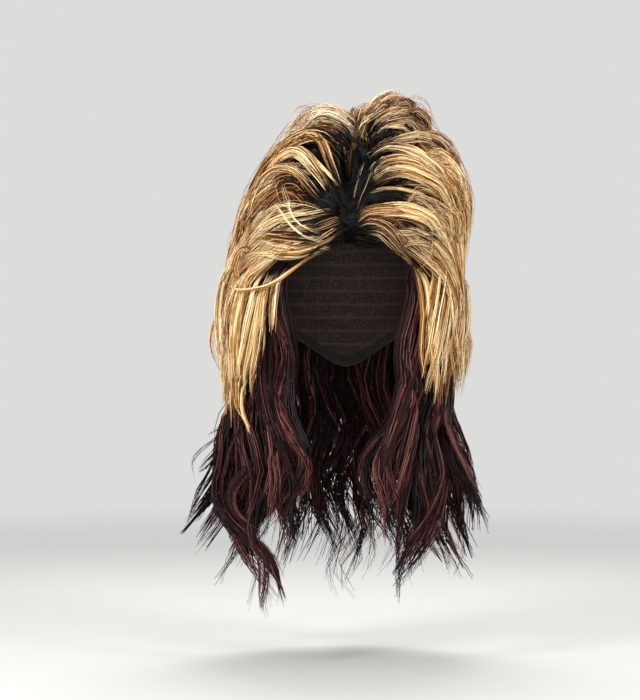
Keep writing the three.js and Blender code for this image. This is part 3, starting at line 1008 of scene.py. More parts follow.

# %% [markdown]
# ## Locks that catch the eye
# Some locks are seen one by one from the front: pale streaks over the rolls, strands that cross the
# fringe, a curl at the temple. Their tones follow the light and dark on the front of the wig, so their
# pale tops are partly painted highlight and their dark gaps partly painted shade. Their lines are drawn
# on the front view in millimetres from the origin, and each point is pushed in until it lies on the
# form, a little proud of it. Each row of the next tables is one lock: its piece, where a table has
# several, its tone from dark to pale, how ash it is, the length of its dark root, its half width, its
# strands, how far it is lifted off the form, then its stations across and up.

# %% Drawn locks: black roots and painted gap shade
# Black roots in the parting, and black locks laid over the gaps between the rolls as painted shade.
ROOTS_AND_GAP_SHADE = [
    ("crown_sweep_left", 0.05, 0.5, 300, 9.0, 50, 4, [(4, -34), (-4, -22), (-12, -10), (-18, 2), (-20, 14)]),
    ("crown_sweep_left", 0.05, 0.5, 300, 8.0, 50, 4, [(3, -36), (3, -18), (4, 0), (4, 18), (2, 34)]),
    ("crown_sweep_right", 0.05, 0.5, 300, 8.0, 50, 4, [(6, -36), (12, -18), (17, 0), (21, 14), (24, 28)]),
    ("crown_sweep_right", 0.05, 0.5, 300, 7.0, 50, 4, [(6, -10), (9, 8), (11, 24), (10, 38), (4, 50)]),
    ("temple_sweep_left", 0.05, 0.5, 300, 7.0, 50, 4, [(-2, -30), (-12, -24), (-24, -17), (-36, -13)]),
    ("fringe_left", 0.05, 0.5, 300, 6.0, 40, 3, [(4, -36), (-8, -38), (-22, -41), (-36, -42), (-50, -41)]),
    ("temple_sweep_right", 0.05, 0.5, 300, 5.0, 50, 4, [
        (10, -22), (20, -15), (32, -12.5), (46, -13), (60, -16), (70, -19)]),
    ("fringe_right", 0.05, 0.5, 300, 6.0, 40, 3, [(66, -47), (74, -47), (82, -51), (88, -57)]),
    ("crown_puff_left", 0.05, 0.4, 300, 5.0, 36, 4, [(16, 30), (8, 38), (-2, 44), (-12, 48), (-22, 50)]),
    ("crown_puff_left", 0.10, 0.4, 300, 6.0, 44, 11, [(8, 14), (5, 26), (2, 38), (-3, 47), (-11, 54)]),
    ("crown_tuft_right", 0.10, 0.4, 300, 5.0, 40, 11, [(10, 14), (11, 27), (12, 38), (10, 48), (8, 56)]),
    ("crown_tuft_right", 0.05, 0.4, 300, 4.0, 36, 4, [(18, 40), (26, 46), (38, 48), (50, 47), (56, 46)]),
    ("crown_sweep_right", 0.10, 0.3, 300, 3.0, 24, 4, [(20, 12), (30, 17), (44, 19), (58, 18), (72, 15)]),
    ("crown_sweep_left", 0.12, 0.3, 300, 4.0, 24, 4, [(-20, 20), (-26, 28), (-31, 34), (-34, 39)]),
    ("crown_tuft_right", 0.15, 0.3, 100, 4.0, 26, 4, [(18, 52), (22, 58), (28, 64), (34, 68)]),
]
print("dark gaps:", len(ROOTS_AND_GAP_SHADE), "locks")

# %% Drawn locks: left rolls
# Sweeps that roll over the left temple: the pale locks on their tops are partly pale dye and partly
# painted highlight, and the brown ones between them partly painted shade.
LEFT_ROLLS = [
    ("crown_sweep_left", 0.88, 0.2, 24, 5.0, 60, 6, [
        (-6, -14), (-15, -6), (-23, 3), (-31, 13), (-39, 24), (-49, 31), (-60, 29), (-71, 21), (-81, 9),
        (-89, -5), (-95, -20)]),
    ("temple_sweep_left", 0.80, 0.2, 30, 3.5, 40, 6, [
        (-14, -24), (-25, -15), (-35, -5), (-43, 5), (-52, 12), (-62, 14), (-72, 11), (-82, 2), (-90, -11),
        (-96, -26)]),
    ("crown_sweep_left", 0.85, 0.1, 14, 1.4, 14, 8, [
        (-2, -9), (-10, -1), (-18, 8), (-26, 17), (-33, 25), (-38, 36), (-46, 40)]),
    ("crown_sweep_left", 0.60, 0.2, 18, 3.5, 40, 5, [
        (-3, -3), (-9, 5), (-14, 14), (-18, 24), (-22, 36), (-29, 46), (-40, 48), (-50, 43), (-60, 36),
        (-70, 26)]),
    ("crown_sweep_left", 0.55, 0.0, 38, 6.0, 60, 4, [
        (0, 26), (-8, 33), (-17, 41), (-28, 47), (-40, 46), (-51, 41), (-61, 34), (-71, 24), (-81, 10),
        (-89, -4)]),
    ("crown_sweep_left", 0.52, 0.0, 0, 5.0, 56, 3, [
        (-49, 36), (-60, 31), (-70, 22), (-79, 10), (-87, -5), (-93, -21), (-96, -37), (-98, -53)]),
    ("crown_sweep_left", 0.60, 0.2, 0, 4.0, 40, -12, [
        (-44, 56), (-53, 48), (-62, 40), (-71, 28), (-80, 14), (-89, -2), (-95, -18)]),
    ("temple_sweep_left", 0.30, 0.3, 15, 9.0, 60, 3, [
        (-38, -16), (-48, -9), (-58, -7), (-68, -10), (-78, -18), (-88, -30), (-96, -44)]),
    ("temple_sweep_left", 0.22, 0.2, 10, 6.0, 50, 4, [(-40, -2), (-49, 2), (-58, 2), (-68, -2), (-78, -11)]),
    ("temple_sweep_left", 0.62, 0.6, 0, 4.0, 6, 6, [(-66, 8), (-63, -4), (-60, -15), (-56, -27)]),
    ("temple_sweep_left", 0.50, 0.0, 0, 7.0, 60, 4, [
        (-90, -14), (-95, -28), (-97, -42), (-99, -54), (-103, -66), (-107, -80)]),
]
print("left rolls:", len(LEFT_ROLLS), "locks")

# %% Drawn locks: left fringe
# Strands that arch over the left side, one of them with a curl.
LEFT_FRINGE = [
    (0.80, 0.2, 20, 0.6, 6, 5, [
        (6, -25), (-10, -25), (-22, -27), (-36, -29.5), (-50, -32), (-62, -34), (-74, -38), (-86, -44),
        (-97, -52)]),
    (0.70, 0.2, 26, 0.6, 6, 5, [
        (2, -31), (-14, -30.5), (-26, -32), (-40, -35), (-54, -37), (-68, -39), (-82, -43), (-94, -50)]),
    (0.86, 0.2, 10, 0.6, 6, 8, [
        (-17, -52), (-25, -55), (-34, -54), (-43, -49.5), (-51, -43), (-57, -35.5), (-63, -26), (-70, -18),
        (-76, -13)]),
    (0.85, 0.5, 0, 0.8, 5, 8, [
        (-57, -10), (-55.5, -18), (-54, -26), (-50, -35), (-44, -41), (-34, -45.5), (-24, -46.5)]),
    (0.45, 0.6, 12, 3.0, 6, 8, [(2, -33), (-10, -36), (-22, -41), (-34, -45), (-46, -46)]),
    (0.30, 0.6, 12, 3.0, 16, 8, [(0, -39), (-9, -45), (-18, -51), (-28, -56), (-40, -59), (-52, -59)]),
    (0.05, 0.5, 300, 2.0, 18, 8, [(-4, -44), (-14, -52), (-24, -59), (-34, -66), (-44, -74)]),
    (0.80, 0.1, 12, 4.0, 50, 6, [
        (-14, -53), (-26, -59.5), (-38, -63.5), (-50, -65), (-62, -64), (-74, -60.5), (-85, -57),
        (-96, -56)]),
    (0.52, 0.0, 18, 2.5, 26, 6, [
        (-20, -58), (-32, -65), (-44, -69), (-57, -70), (-70, -68), (-82, -65), (-93, -64), (-102, -67)]),
    (0.36, 0.0, 24, 6.0, 60, 5, [
        (-12, -46), (-26, -51), (-42, -53), (-58, -52), (-74, -50), (-90, -52), (-101, -58)]),
    (0.70, 0.1, 12, 1.3, 17, 8, [
        (-22, -61), (-32, -67), (-42, -74.5), (-52, -82), (-62, -89.5), (-72, -95), (-82, -98), (-94, -99.5),
        (-104, -99.5), (-110.5, -97.5), (-112.5, -94.5), (-110, -91.5), (-103, -90), (-93, -90)]),
    (0.60, 0.0, 0, 2.2, 24, 9, [
        (-92, -57), (-98, -61), (-103, -68), (-105.5, -77), (-106, -86), (-104, -94), (-101, -99)]),
    (0.85, 0.3, 0, 1.2, 12, 7, [
        (-55, -67.5), (-68, -67), (-80, -65.5), (-90, -66), (-99, -70), (-106, -78)]),
]
print("left fringe:", len(LEFT_FRINGE), "locks")

# %% Drawn locks: puff
# Ash-blond rolls of the teased puff, with loose hairs over it. Its darker locks lie in the grooves
# between the rolls, partly as painted shade.
PUFF = [
    (0.60, 0.8, 26, 7.0, 60, 3, [(10, 36), (0, 46), (-12, 53), (-25, 57), (-38, 55), (-49, 48), (-57, 39)]),
    (0.70, 0.9, 22, 7.0, 64, 3, [(16, 46), (8, 57), (-3, 65), (-16, 70), (-29, 70), (-41, 65), (-51, 57)]),
    (0.30, 0.5, 44, 5.0, 44, 2, [(6, 30), (-4, 40), (-14, 46), (-26, 49), (-38, 47), (-50, 41), (-60, 33)]),
    (0.70, 0.9, 14, 8.0, 60, -7, [(8, 54), (-2, 63), (-14, 69), (-27, 70), (-39, 66), (-49, 58), (-56, 48)]),
    (0.55, 0.8, 20, 8.0, 60, -15, [
        (6, 46), (-5, 56), (-17, 63), (-30, 64), (-42, 59), (-52, 50), (-60, 40)]),
    (0.70, 0.9, 10, 4.0, 6, 5, [(2, 66), (-12, 74), (-26, 76), (-38, 72), (-48, 64), (-55, 55)]),
    (0.75, 0.9, 6, 8.0, 6, 7, [(-6, 46), (-16, 58), (-28, 65), (-40, 64), (-50, 56), (-56, 46)]),
    (0.60, 1.0, 6, 8.0, 6, 8, [(14, 46), (2, 52), (-12, 60), (-26, 68), (-38, 72), (-48, 68)]),
    (0.25, 0.6, 6, 6.0, 6, 8, [(6, 54), (-6, 56), (-18, 60), (-32, 60), (-44, 54), (-54, 44)]),
    (0.66, 0.8, 10, 4.0, 40, -14, [(-20, 68), (-32, 69), (-43, 65), (-52, 58), (-58, 49), (-64, 39)]),
    (0.72, 0.85, 20, 6.0, 70, 4, [
        (14, 42), (7, 52), (-2, 60), (-12, 66), (-24, 69.5), (-36, 67), (-46, 61), (-54, 53), (-58, 44)]),
    (0.78, 0.8, 22, 3.0, 30, 5, [
        (8, 44), (0, 53), (-9, 60), (-20, 64), (-31, 63.5), (-41, 58.5), (-50, 51)]),
    (0.40, 0.6, 26, 4.0, 40, 5, [(12, 40), (3, 46), (-7, 52), (-18, 56), (-29, 57), (-40, 54), (-49, 48)]),
    (0.50, 0.1, 8, 1.8, 20, 7, [(20, 40), (17, 46), (13, 53), (8, 59), (2, 65), (-6, 70)]),
    (0.65, 0.9, 0, 5.0, 6, 3, [(-6, 68), (-19, 74), (-33, 75), (-45, 70), (-54, 62), (-60, 52)]),
    (0.55, 0.9, 0, 5.0, 6, -10, [(-24, 68), (-37, 75), (-48, 75), (-57, 69)]),
    (0.50, 0.9, 0, 5.0, 6, -6, [(10, 60), (0, 67), (-8, 73), (-18, 77)]),
]
print("puff:", len(PUFF), "locks")

# %% Drawn locks: loose hairs
# Thin hairs that cross the dark parting.
LOOSE_HAIRS = [
    ("crown_sweep_left", 0.75, 1.0, 0, 0.3, 2, 9, [
        (20, 33), (16, 22), (12, 10), (8, -2), (5, -14), (4, -26)]),
    ("crown_sweep_right", 0.75, 1.0, 0, 0.3, 2, 9, [(25, 18), (21, 6), (17, -5), (13, -14), (9, -25)]),
    ("crown_sweep_right", 0.55, 1.0, 0, 0.8, 2, 9, [(10, 40), (15, 32), (20, 25), (26, 17)]),
    ("crown_sweep_right", 0.55, 1.0, 0, 0.8, 2, 9, [(30, 34), (22, 30), (14, 27), (6, 28)]),
    ("crown_sweep_left", 0.45, 1.0, 0, 3.0, 6, 8, [(-12, 30), (-8, 20), (-4, 10), (0, 0)]),
]
print("loose hairs:", len(LOOSE_HAIRS), "locks")

# %% Drawn locks: tuft
# Rolls of the standing tuft, darker than the puff.
TUFT = [
    (0.40, 0.4, 12, 6.0, 44, 2, [(10, 48), (10, 58), (12, 68), (17, 77), (25, 84), (34, 87)]),
    (0.45, 0.5, 14, 6.0, 60, 3, [
        (14, 50), (17, 60), (22, 70), (30, 79), (40, 85), (51, 87), (61, 84), (69, 77)]),
    (0.55, 0.4, 14, 5.0, 50, 4, [(18, 54), (26, 64), (36, 73), (47, 79), (58, 81), (68, 77), (75, 69)]),
    (0.50, 0.5, 12, 6.0, 50, -8, [(18, 50), (26, 62), (36, 72), (48, 78), (60, 79), (70, 74), (77, 64)]),
    (0.42, 0.5, 12, 6.0, 50, -16, [(20, 46), (30, 58), (42, 67), (55, 71), (67, 69), (76, 61), (81, 50)]),
    (0.42, 0.4, 10, 5.0, 50, 4, [(10, 52), (8, 60), (8, 68), (11, 76), (18, 83)]),
    (0.80, 0.2, 10, 2.2, 26, 6, [(15, 58), (18, 65), (23, 72), (30, 79), (40, 86)]),
    (0.60, 0.5, 16, 4.5, 50, 5, [(20, 53), (28, 59), (38, 64), (50, 69), (61, 74), (69, 75)]),
    (0.50, 0.7, 14, 4.5, 50, 5, [(24, 52), (36, 57), (48, 60), (60, 61), (70, 58), (77, 51)]),
    (0.88, 0.6, 10, 1.2, 16, 5, [(22, 50.5), (34, 53), (46, 54), (58, 53), (66, 52)]),
    (0.45, 0.6, 0, 4.0, 40, 5, [(58, 76), (67, 71), (74, 64), (78, 56), (80, 48)]),
    (0.50, 0.6, 0, 5.0, 6, -4, [(52, 80), (64, 82), (74, 77), (81, 68), (86, 57)]),
    (0.50, 0.6, 0, 5.0, 6, -4, [(60, 70), (72, 70), (82, 64), (89, 55)]),
]
print("tuft:", len(TUFT), "locks")

# %% Drawn locks: right rolls
# Sweeps that roll over the right temple, pale on top partly as painted highlight, and darker between
# partly as painted shade.
RIGHT_ROLLS = [
    ("crown_sweep_right", 0.85, 0.3, 22, 5.0, 60, 6, [
        (18, 30), (29, 34.5), (41, 35), (53, 33), (64, 29), (75, 21), (86, 13), (96, 3), (104, -8)]),
    ("crown_sweep_right", 0.75, 0.5, 16, 4.0, 44, 5, [
        (30, 36), (42, 40), (55, 43), (67, 45), (78, 44), (88, 40), (97, 33), (105, 22)]),
    ("back_sweep_right", 0.50, 0.6, 12, 4.0, 44, 4, [
        (46, 40), (57, 45), (68, 48), (80, 47), (90, 43), (99, 35), (107, 24), (112, 10), (115, -5)]),
    ("crown_sweep_right", 0.90, 0.2, 10, 4.0, 50, 6, [
        (70, 32), (82, 33), (93, 28), (102, 19), (109, 7), (113, -6), (114, -20)]),
    ("crown_sweep_right", 0.54, 0.0, 0, 5.0, 50, 2, [
        (62, 28), (74, 22), (86, 12), (96, 1), (104, -11), (109, -24), (111, -38)]),
    ("crown_sweep_right", 0.80, 0.2, 18, 2.5, 30, 6, [
        (18, 12), (28, 19), (40, 23), (53, 23.5), (66, 20), (78, 14), (90, 5)]),
    ("temple_sweep_right", 0.86, 0.1, 18, 5.0, 60, 6, [
        (16, -6), (24, 1), (34, 6.5), (45, 9.5), (57, 8.5), (68, 4), (79, -1), (89, -8), (97, -17),
        (102, -28)]),
    ("temple_sweep_right", 0.60, 0.1, 18, 3.5, 40, 5, [
        (18, 2), (27, 9), (38, 14), (50, 15.5), (62, 13), (74, 8), (86, 1), (96, -8), (104, -19)]),
    ("temple_sweep_right", 0.55, 0.0, 0, 4.0, 40, 2, [
        (64, 1), (76, -5), (87, -11), (96, -20), (101, -31), (102, -44)]),
    ("temple_sweep_right", 0.93, 0.3, 12, 1.2, 16, 8, [
        (14, -14), (22, -9), (31, -6.5), (42, -6), (53, -7.5), (65, -10.5), (77, -14.5), (89, -17)]),
    ("temple_sweep_right", 0.62, 0.2, 0, 0.8, 6, 9, [(55, -20), (60, -14.5), (65, -9), (70, -3.5)]),
]
print("right rolls:", len(RIGHT_ROLLS), "locks")

# %% Drawn locks: right fringe
# The pale arch over the right side, pale partly as painted highlight, and finer strands under it.
RIGHT_FRINGE = [
    (1.00, 0.2, 16, 3.2, 50, 7, [
        (8, -34), (17, -30), (27, -26), (38, -23.5), (50, -23), (61, -25), (72, -29), (82, -35.5), (90, -44),
        (95, -54), (97, -65)]),
    (0.88, 0.2, 20, 2.8, 40, 6, [
        (10, -37), (23, -32.5), (37, -30), (51, -30), (64, -32.5), (75, -37), (84, -44.5), (90, -54),
        (92, -64)]),
    (0.35, 0.6, 20, 5.0, 50, 5, [(14, -37), (27, -36), (41, -36), (54, -36.5), (66, -38.5), (76, -42)]),
    (0.52, 0.0, 0, 6.0, 50, 2, [(88, -22), (96, -25), (102, -34), (103, -46), (99, -58), (94, -70)]),
    (0.05, 0.5, 300, 5.0, 40, 2, [(30, -44), (42, -51), (54, -60), (66, -68), (77, -71)]),
    (0.45, 0.8, 12, 5.0, 44, 6, [(26, -39), (36, -43), (44, -50), (51, -58), (58, -66), (66, -72)]),
    (0.35, 0.7, 10, 5.0, 50, 5, [(36, -41), (46, -46), (55, -53), (63, -60), (72, -66), (82, -68)]),
    (0.45, 0.4, 8, 3.0, 30, 9, [(7, -33), (17, -29), (28, -26.5), (40, -26), (52, -27.5), (64, -31)]),
    (0.30, 0.5, 8, 3.0, 30, 9, [(7, -37), (18, -34), (29, -34.5), (40, -39), (50, -47), (58, -57)]),
    (0.40, 0.6, 8, 2.0, 12, 10, [(10, -38), (20, -37.5), (30, -40), (39, -46), (47, -55), (55, -64)]),
    (0.35, 0.6, 8, 4.0, 36, 9, [(18, -41), (30, -47), (40, -55), (49, -64), (60, -73), (70, -80)]),
    (0.80, 0.6, 6, 2.5, 10, 8, [(34, -46), (44, -49), (55, -50), (65, -48), (74, -44)]),
    (0.75, 0.5, 6, 2.0, 8, 8, [(46, -60), (55, -58), (65, -57), (76, -59), (87, -62)]),
    (0.80, 0.3, 0, 0.6, 3, 6, [(80, -45), (79, -55), (78, -65), (74, -75), (67, -84)]),
]
print("right fringe:", len(RIGHT_FRINGE), "locks")

# %% Drawn locks: side locks
# Pale straight locks that hang in front of the others. The ash-brown locks down the outer edge of the
# left side are partly painted shade on the side turned from the light.
SIDE_LOCKS = [
    ("side_lock_left_1", 0.95, 0.1, 0, 4.5, 46, 4, [
        (-79, -72), (-84, -98), (-90, -124), (-95, -150), (-100, -176), (-103, -200), (-104, -224)]),
    ("side_lock_left_2", 0.92, 0.1, 0, 4.0, 40, 4, [
        (-90, -75), (-97, -100), (-103, -126), (-106, -152), (-107, -180), (-106, -204), (-104, -226)]),
    ("side_lock_left_1", 0.60, 0.0, 0, 3.0, 24, 2, [
        (-84, -75), (-92, -105), (-98, -132), (-101, -160), (-102, -188), (-103, -214)]),
    ("side_lock_left_1", 0.85, 0.2, 0, 1.6, 14, 4, [
        (-76, -78), (-80, -110), (-84, -142), (-89, -172), (-94, -196), (-97, -210)]),
    ("side_lock_left_1", 0.90, 0.1, 0, 1.3, 14, 6, [
        (-97, -180), (-99, -200), (-98, -214), (-93, -227), (-89, -240), (-85.5, -254)]),
    ("side_lock_left_2", 0.50, 0.0, 0, 4.0, 30, 5, [(-104, -170), (-106, -190), (-105, -210), (-103, -229)]),
    ("side_lock_left_2", 0.68, 0.5, 0, 5.0, 44, 2, [
        (-109, -62), (-114, -80), (-119, -100), (-121, -125), (-120, -150), (-115, -172), (-111, -190)]),
    ("side_lock_left_2", 0.62, 0.5, 0, 5.0, 40, 2, [
        (-106, -80), (-109, -96), (-113, -120), (-115, -148), (-112, -172)]),
    ("side_lock_right_1", 0.55, 0.0, 0, 4.0, 40, 3, [
        (88, -62), (84, -82), (81, -104), (77, -128), (74, -152), (72, -176), (74, -200)]),
    ("side_lock_right_1", 0.90, 0.2, 0, 4.0, 40, 4, [
        (97, -62), (95, -86), (92, -110), (87, -134), (82, -158), (78, -182), (76, -206)]),
    ("side_lock_right_2", 0.65, 0.6, 0, 5.0, 46, 2, [
        (106, -80), (107, -94), (107, -112), (104, -138), (99, -162), (93, -184)]),
    ("side_lock_right_2", 0.75, 0.7, 0, 3.0, 26, 3, [
        (101, -82), (101, -96), (100, -116), (96, -142), (90, -166), (84, -190)]),
    ("side_lock_right_2", 0.64, 0.6, 0, 4.0, 30, 2, [
        (110, -68), (112, -86), (113, -112), (111, -140), (106, -166), (101, -188)]),
]
print("side locks:", len(SIDE_LOCKS), "locks")

# %% Drawn locks: under layer
# Waves and flicks of the dark under layer, paler than the coats under them, partly as painted
# highlight on the waves.
UNDER_WAVES = [
    ("under_lock_left_1", 0.45, 0, 0, 6.0, 50, 3, [
        (-74, -96), (-75, -130), (-78, -165), (-77, -200), (-68, -230), (-58, -254), (-51, -276),
        (-53, -294), (-62, -308), (-71, -317)]),
    ("under_lock_left_1", 0.55, 0, 0, 3.0, 24, 4, [
        (-82, -165), (-83, -195), (-77, -222), (-73, -248), (-74, -270), (-82, -290), (-91, -310)]),
    ("under_lock_left_1", 0.70, 0, 0, 2.0, 14, 5, [
        (-72, -190), (-66, -210), (-59, -230), (-51, -247), (-45, -264)]),
    ("under_lock_left_1", 0.75, 0, 0, 5.0, 30, 4, [
        (-73, -240), (-69, -260), (-67, -280), (-70, -300), (-78, -318)]),
    ("under_lock_left_2", 0.60, 0, 0, 4.0, 40, 5, [
        (-92, -215), (-86, -240), (-86, -258), (-96, -271), (-106, -283), (-109, -294), (-106, -306),
        (-97, -317), (-86, -325), (-73, -331), (-60, -333)]),
    ("under_lock_left_3", 0.45, 0, 0, 7.0, 70, 2, [
        (-104, -215), (-112, -240), (-119, -265), (-123, -287), (-118, -306), (-106, -321), (-92, -331),
        (-78, -343), (-68, -358), (-64, -374), (-67, -390), (-76, -406)]),
    ("under_lock_left_2", 0.60, 0, 0, 4.0, 30, 3, [
        (-102, -318), (-90, -331), (-79, -341), (-70, -355), (-65, -371), (-63, -386), (-63, -398)]),
    ("under_lock_left_2", 0.65, 0, 0, 4.0, 20, 2, [
        (-84, -340), (-78, -358), (-78, -376), (-82, -391), (-86, -404)]),
    ("under_lock_left_3", 0.30, 0, 0, 3.0, 26, 0, [
        (-104, -212), (-111, -232), (-121, -249), (-132, -262), (-143, -269), (-154, -270)]),
    ("under_lock_left_4", 0.25, 0, 0, 2.5, 16, 0, [
        (-108, -225), (-118, -250), (-127, -268), (-136, -284), (-146, -300), (-154, -315), (-163, -329)]),
    ("under_lock_left_3", 0.30, 0, 0, 1.5, 4, 2, [(-107, -221), (-122, -231), (-135, -237), (-142, -241)]),
    ("under_lock_left_3", 0.30, 0, 0, 2.0, 5, 2, [
        (-105, -222), (-118, -234), (-133, -246), (-145, -257), (-151, -270), (-153, -284)]),
    ("under_lock_right_1", 0.50, 0, 0, 6.0, 50, 3, [
        (76, -105), (69, -140), (60, -172), (49, -205), (38, -238), (30, -268), (24, -294), (12, -318)]),
    ("under_lock_right_1", 0.65, 0, 0, 4.0, 30, 4, [
        (66, -190), (59, -222), (52, -250), (45, -275), (38, -298), (30, -312)]),
    ("under_lock_right_2", 0.50, 0, 0, 5.0, 40, 3, [
        (72, -200), (64, -235), (56, -270), (50, -300), (47, -330), (50, -358), (56, -378)]),
    ("under_lock_right_2", 0.60, 0, 0, 3.0, 24, 4, [
        (86, -215), (84, -245), (88, -272), (80, -296), (68, -316), (58, -332), (50, -342)]),
    ("under_lock_right_3", 0.45, 0, 0, 4.0, 30, 2, [
        (98, -215), (102, -245), (108, -270), (114, -292), (121, -308), (128, -318)]),
    ("under_lock_right_3", 0.60, 0, 0, 2.5, 16, 3, [
        (94, -255), (92, -285), (84, -313), (76, -333), (88, -341), (104, -336)]),
]
print("under layer:", len(UNDER_WAVES), "locks")

# %% Lay a drawn line on the hair
# Rays start this far in front of the hair, and what they meet counts as its front up to this depth.
FRONT_FROM = -300.0
FRONT_LIMIT = 45.0
# A point outside the outline is tried again nearer to the middle. Where nothing is met, the nearest
# points of the lock's own form give the depth.
NEARER = (1.0, 0.97, 0.94, 0.9, 0.86)
NEAR_POINTS = 4
# A form that turns away more than this has no sure depth, and a lock lifted this far is well proud of it.
FACING = 0.3
PROUD = 7
# How steeply a sweep is carried on backwards, and how far a lock sags into a hollow that it spans.
SWEEP_BACK = 0.4
BRIDGE_SAG = 4.0
SMOOTHING_ROUNDS = 8
# The root and the tip sink into the hair: how deep, and over which shares of the lock.
ROOT_SINK = 8.0
TIP_SINK = 7.0
ROOT_OUT = 0.17
TIP_IN = 0.75


def lay_on_front(piece_name, flat, lift):
    """Push each point of a front-view line in along the view until it lies just proud of the hair."""
    own = mesh_points(piece_name)
    depths = np.zeros(len(flat))
    facing = np.zeros(len(flat))
    for index, (x, z) in enumerate(flat):
        nearest = np.argsort(np.hypot(own[:, 0] - x, own[:, 2] - z))[:NEAR_POINTS]
        depths[index] = own[nearest, 1].min()
        for shrink in NEARER:
            hit = front_tree.ray_cast((x * shrink, FRONT_FROM, z), (0, 1, 0))
            if hit[0] and hit[0][1] < FRONT_LIMIT:
                depths[index] = hit[0][1]
                facing[index] = abs(hit[1][1])
                break
    # Where the form turns away from the viewer its depth is uncertain, so a sweep is carried on backwards.
    # A lock that stands well proud of the form keeps the line that it was drawn with.
    sure = np.flatnonzero(facing > FACING)
    if len(sure) > 2 and lift < PROUD:
        travelled = np.concatenate([[0], np.cumsum(np.linalg.norm(np.diff(flat, axis=0), axis=1))])
        beyond = np.maximum(travelled - travelled[sure[-1]], 0)
        swept_back = SWEEP_BACK if piece_name in crown_guides else 0.0
        depths = np.interp(np.arange(len(flat)), sure, depths[sure]) + swept_back * beyond
    # A lock spans a hollow like a bridge instead of dipping into it.
    bridge = np.interp(np.arange(len(flat)), (0, len(flat) - 1), (depths[0], depths[-1]))
    depths = np.minimum(depths, bridge + BRIDGE_SAG)
    for _ in range(SMOOTHING_ROUNDS):
        padded = np.pad(depths, 1, mode="edge")
        depths = (padded[:-2] + 2 * padded[1:-1] + padded[2:]) / 4
    points = np.column_stack([flat[:, 0], depths - lift, flat[:, 1]])
    sunk = np.interp(np.linspace(0, 1, len(flat)), (0, ROOT_OUT, TIP_IN, 1), (ROOT_SINK, 0, 0, TIP_SINK))
    return points - outwards(points) * sunk[:, None]


print("drawn lines sink", ROOT_SINK, "mm at the root and", TIP_SINK, "mm at the tip")

# %% Drawn locks as bundles
FRONT_SEED = 700
# Points of a bundle's line; the drawn line has three times as many, so that a bundle can miss some.
FRONT_STEPS = 22
MOST_SKIPPED = 8
MOST_DROPPED = 14
# Half width of one bundle, and up to how many strands a lock counts as loose single hairs.
BUNDLE_HALF = 1.4
LOOSE_STRANDS = 6
LOOSE_THICKNESS = 0.5
# There are so many times more strands than the tables say, thinner by the square root of it.
FINENESS = 1.25
LOCK_THICKNESS = 0.9 / FINENESS**0.5
# A strand has a point for every so many millimetres, within limits.
POINT_STEP = 9.0
FEWEST_POINTS = 7
MOST_POINTS = 16


def front_bundles(rng, piece_name, tone, ash, root, half, strands, lift, stations):
    """One drawn lock as a few narrow bundles that begin, cross and end a little differently."""
    drawn = curve_through(stations, 3 * FRONT_STEPS)
    share = np.linspace(0, 1, FRONT_STEPS)
    fan = np.interp(share, (0, 0.5, 1), (0.8, 1.0, 0.6))
    count = max(1, round(half / BUNDLE_HALF))
    vary = count > 1
    length = np.linalg.norm(np.diff(drawn, axis=0), axis=1).sum()
    for place in np.linspace(-1, 1, count) if vary else [0.0]:
        skipped = vary * rng.integers(0, MOST_SKIPPED)
        dropped = vary * rng.integers(0, MOST_DROPPED)
        line = curve_through(drawn[skipped:len(drawn) - dropped:3], FRONT_STEPS)
        ahead = unit(np.gradient(line, axis=0))
        across = np.column_stack([-ahead[:, 1], ahead[:, 0]])
        wander = vary * np.interp(share, (0, 0.5, 1), rng.uniform(-0.35, 0.35, 3))
        shift = 0.8 * half * (place * fan + wander)
        own_half = max(half / count, 0.5) * rng.uniform(1.1, 1.9)
        yield guide(
            lay_on_front(piece_name, line + across * shift[:, None], lift + rng.uniform(-1.5, 1.5)),
            width=(own_half * 0.8, own_half, own_half * 0.5), depth=(0.8, own_half * 0.5 + 0.5, 0.6),
            strands=max(2, round(FINENESS * strands / count)),
            tone=tone + vary * rng.uniform(-0.24, 0.14), ash=ash, root=root * rng.uniform(0.7, 1.4),
            steps=np.clip(length / POINT_STEP, FEWEST_POINTS, MOST_POINTS), spread=0.5,
            thick=LOOSE_THICKNESS if strands <= LOOSE_STRANDS else LOCK_THICKNESS, late=0.18)


front_locks = [*ROOTS_AND_GAP_SHADE, *LEFT_ROLLS]
front_locks += [("fringe_left", *row) for row in LEFT_FRINGE]
front_locks += [("crown_puff_left", *row) for row in PUFF]
front_locks += LOOSE_HAIRS
front_locks += [("crown_tuft_right", *row) for row in TUFT]
front_locks += RIGHT_ROLLS
front_locks += [("fringe_right", *row) for row in RIGHT_FRINGE]
front_locks += SIDE_LOCKS
front_locks += UNDER_WAVES
rng = np.random.default_rng(FRONT_SEED)
for row in front_locks:
    store = crown_guides if row[0] in crown_guides else hanging_guides
    store[row[0]] += list(front_bundles(rng, *row))
print("front locks:", len(front_locks))

# %% [markdown]
# ## Comb every piece
# Each node of the frame becomes one combed piece in the same place. Teased crown hair wanders more than
# the straight side hair, and its standing top and the long under layer wander most of all.

# %% Comb the crown, the hanging hair and the dark under layer
# Each piece has a seed of its own, so that no two are combed alike.
CROWN_COMB_SEED = 10
HANGING_COMB_SEED = 210
SEED_STEP = 10
# How far strands of the standing top and of the rest of the crown wander, in millimetres.
TOP_FRIZZ = 11.0
CROWN_FRIZZ = 8.0

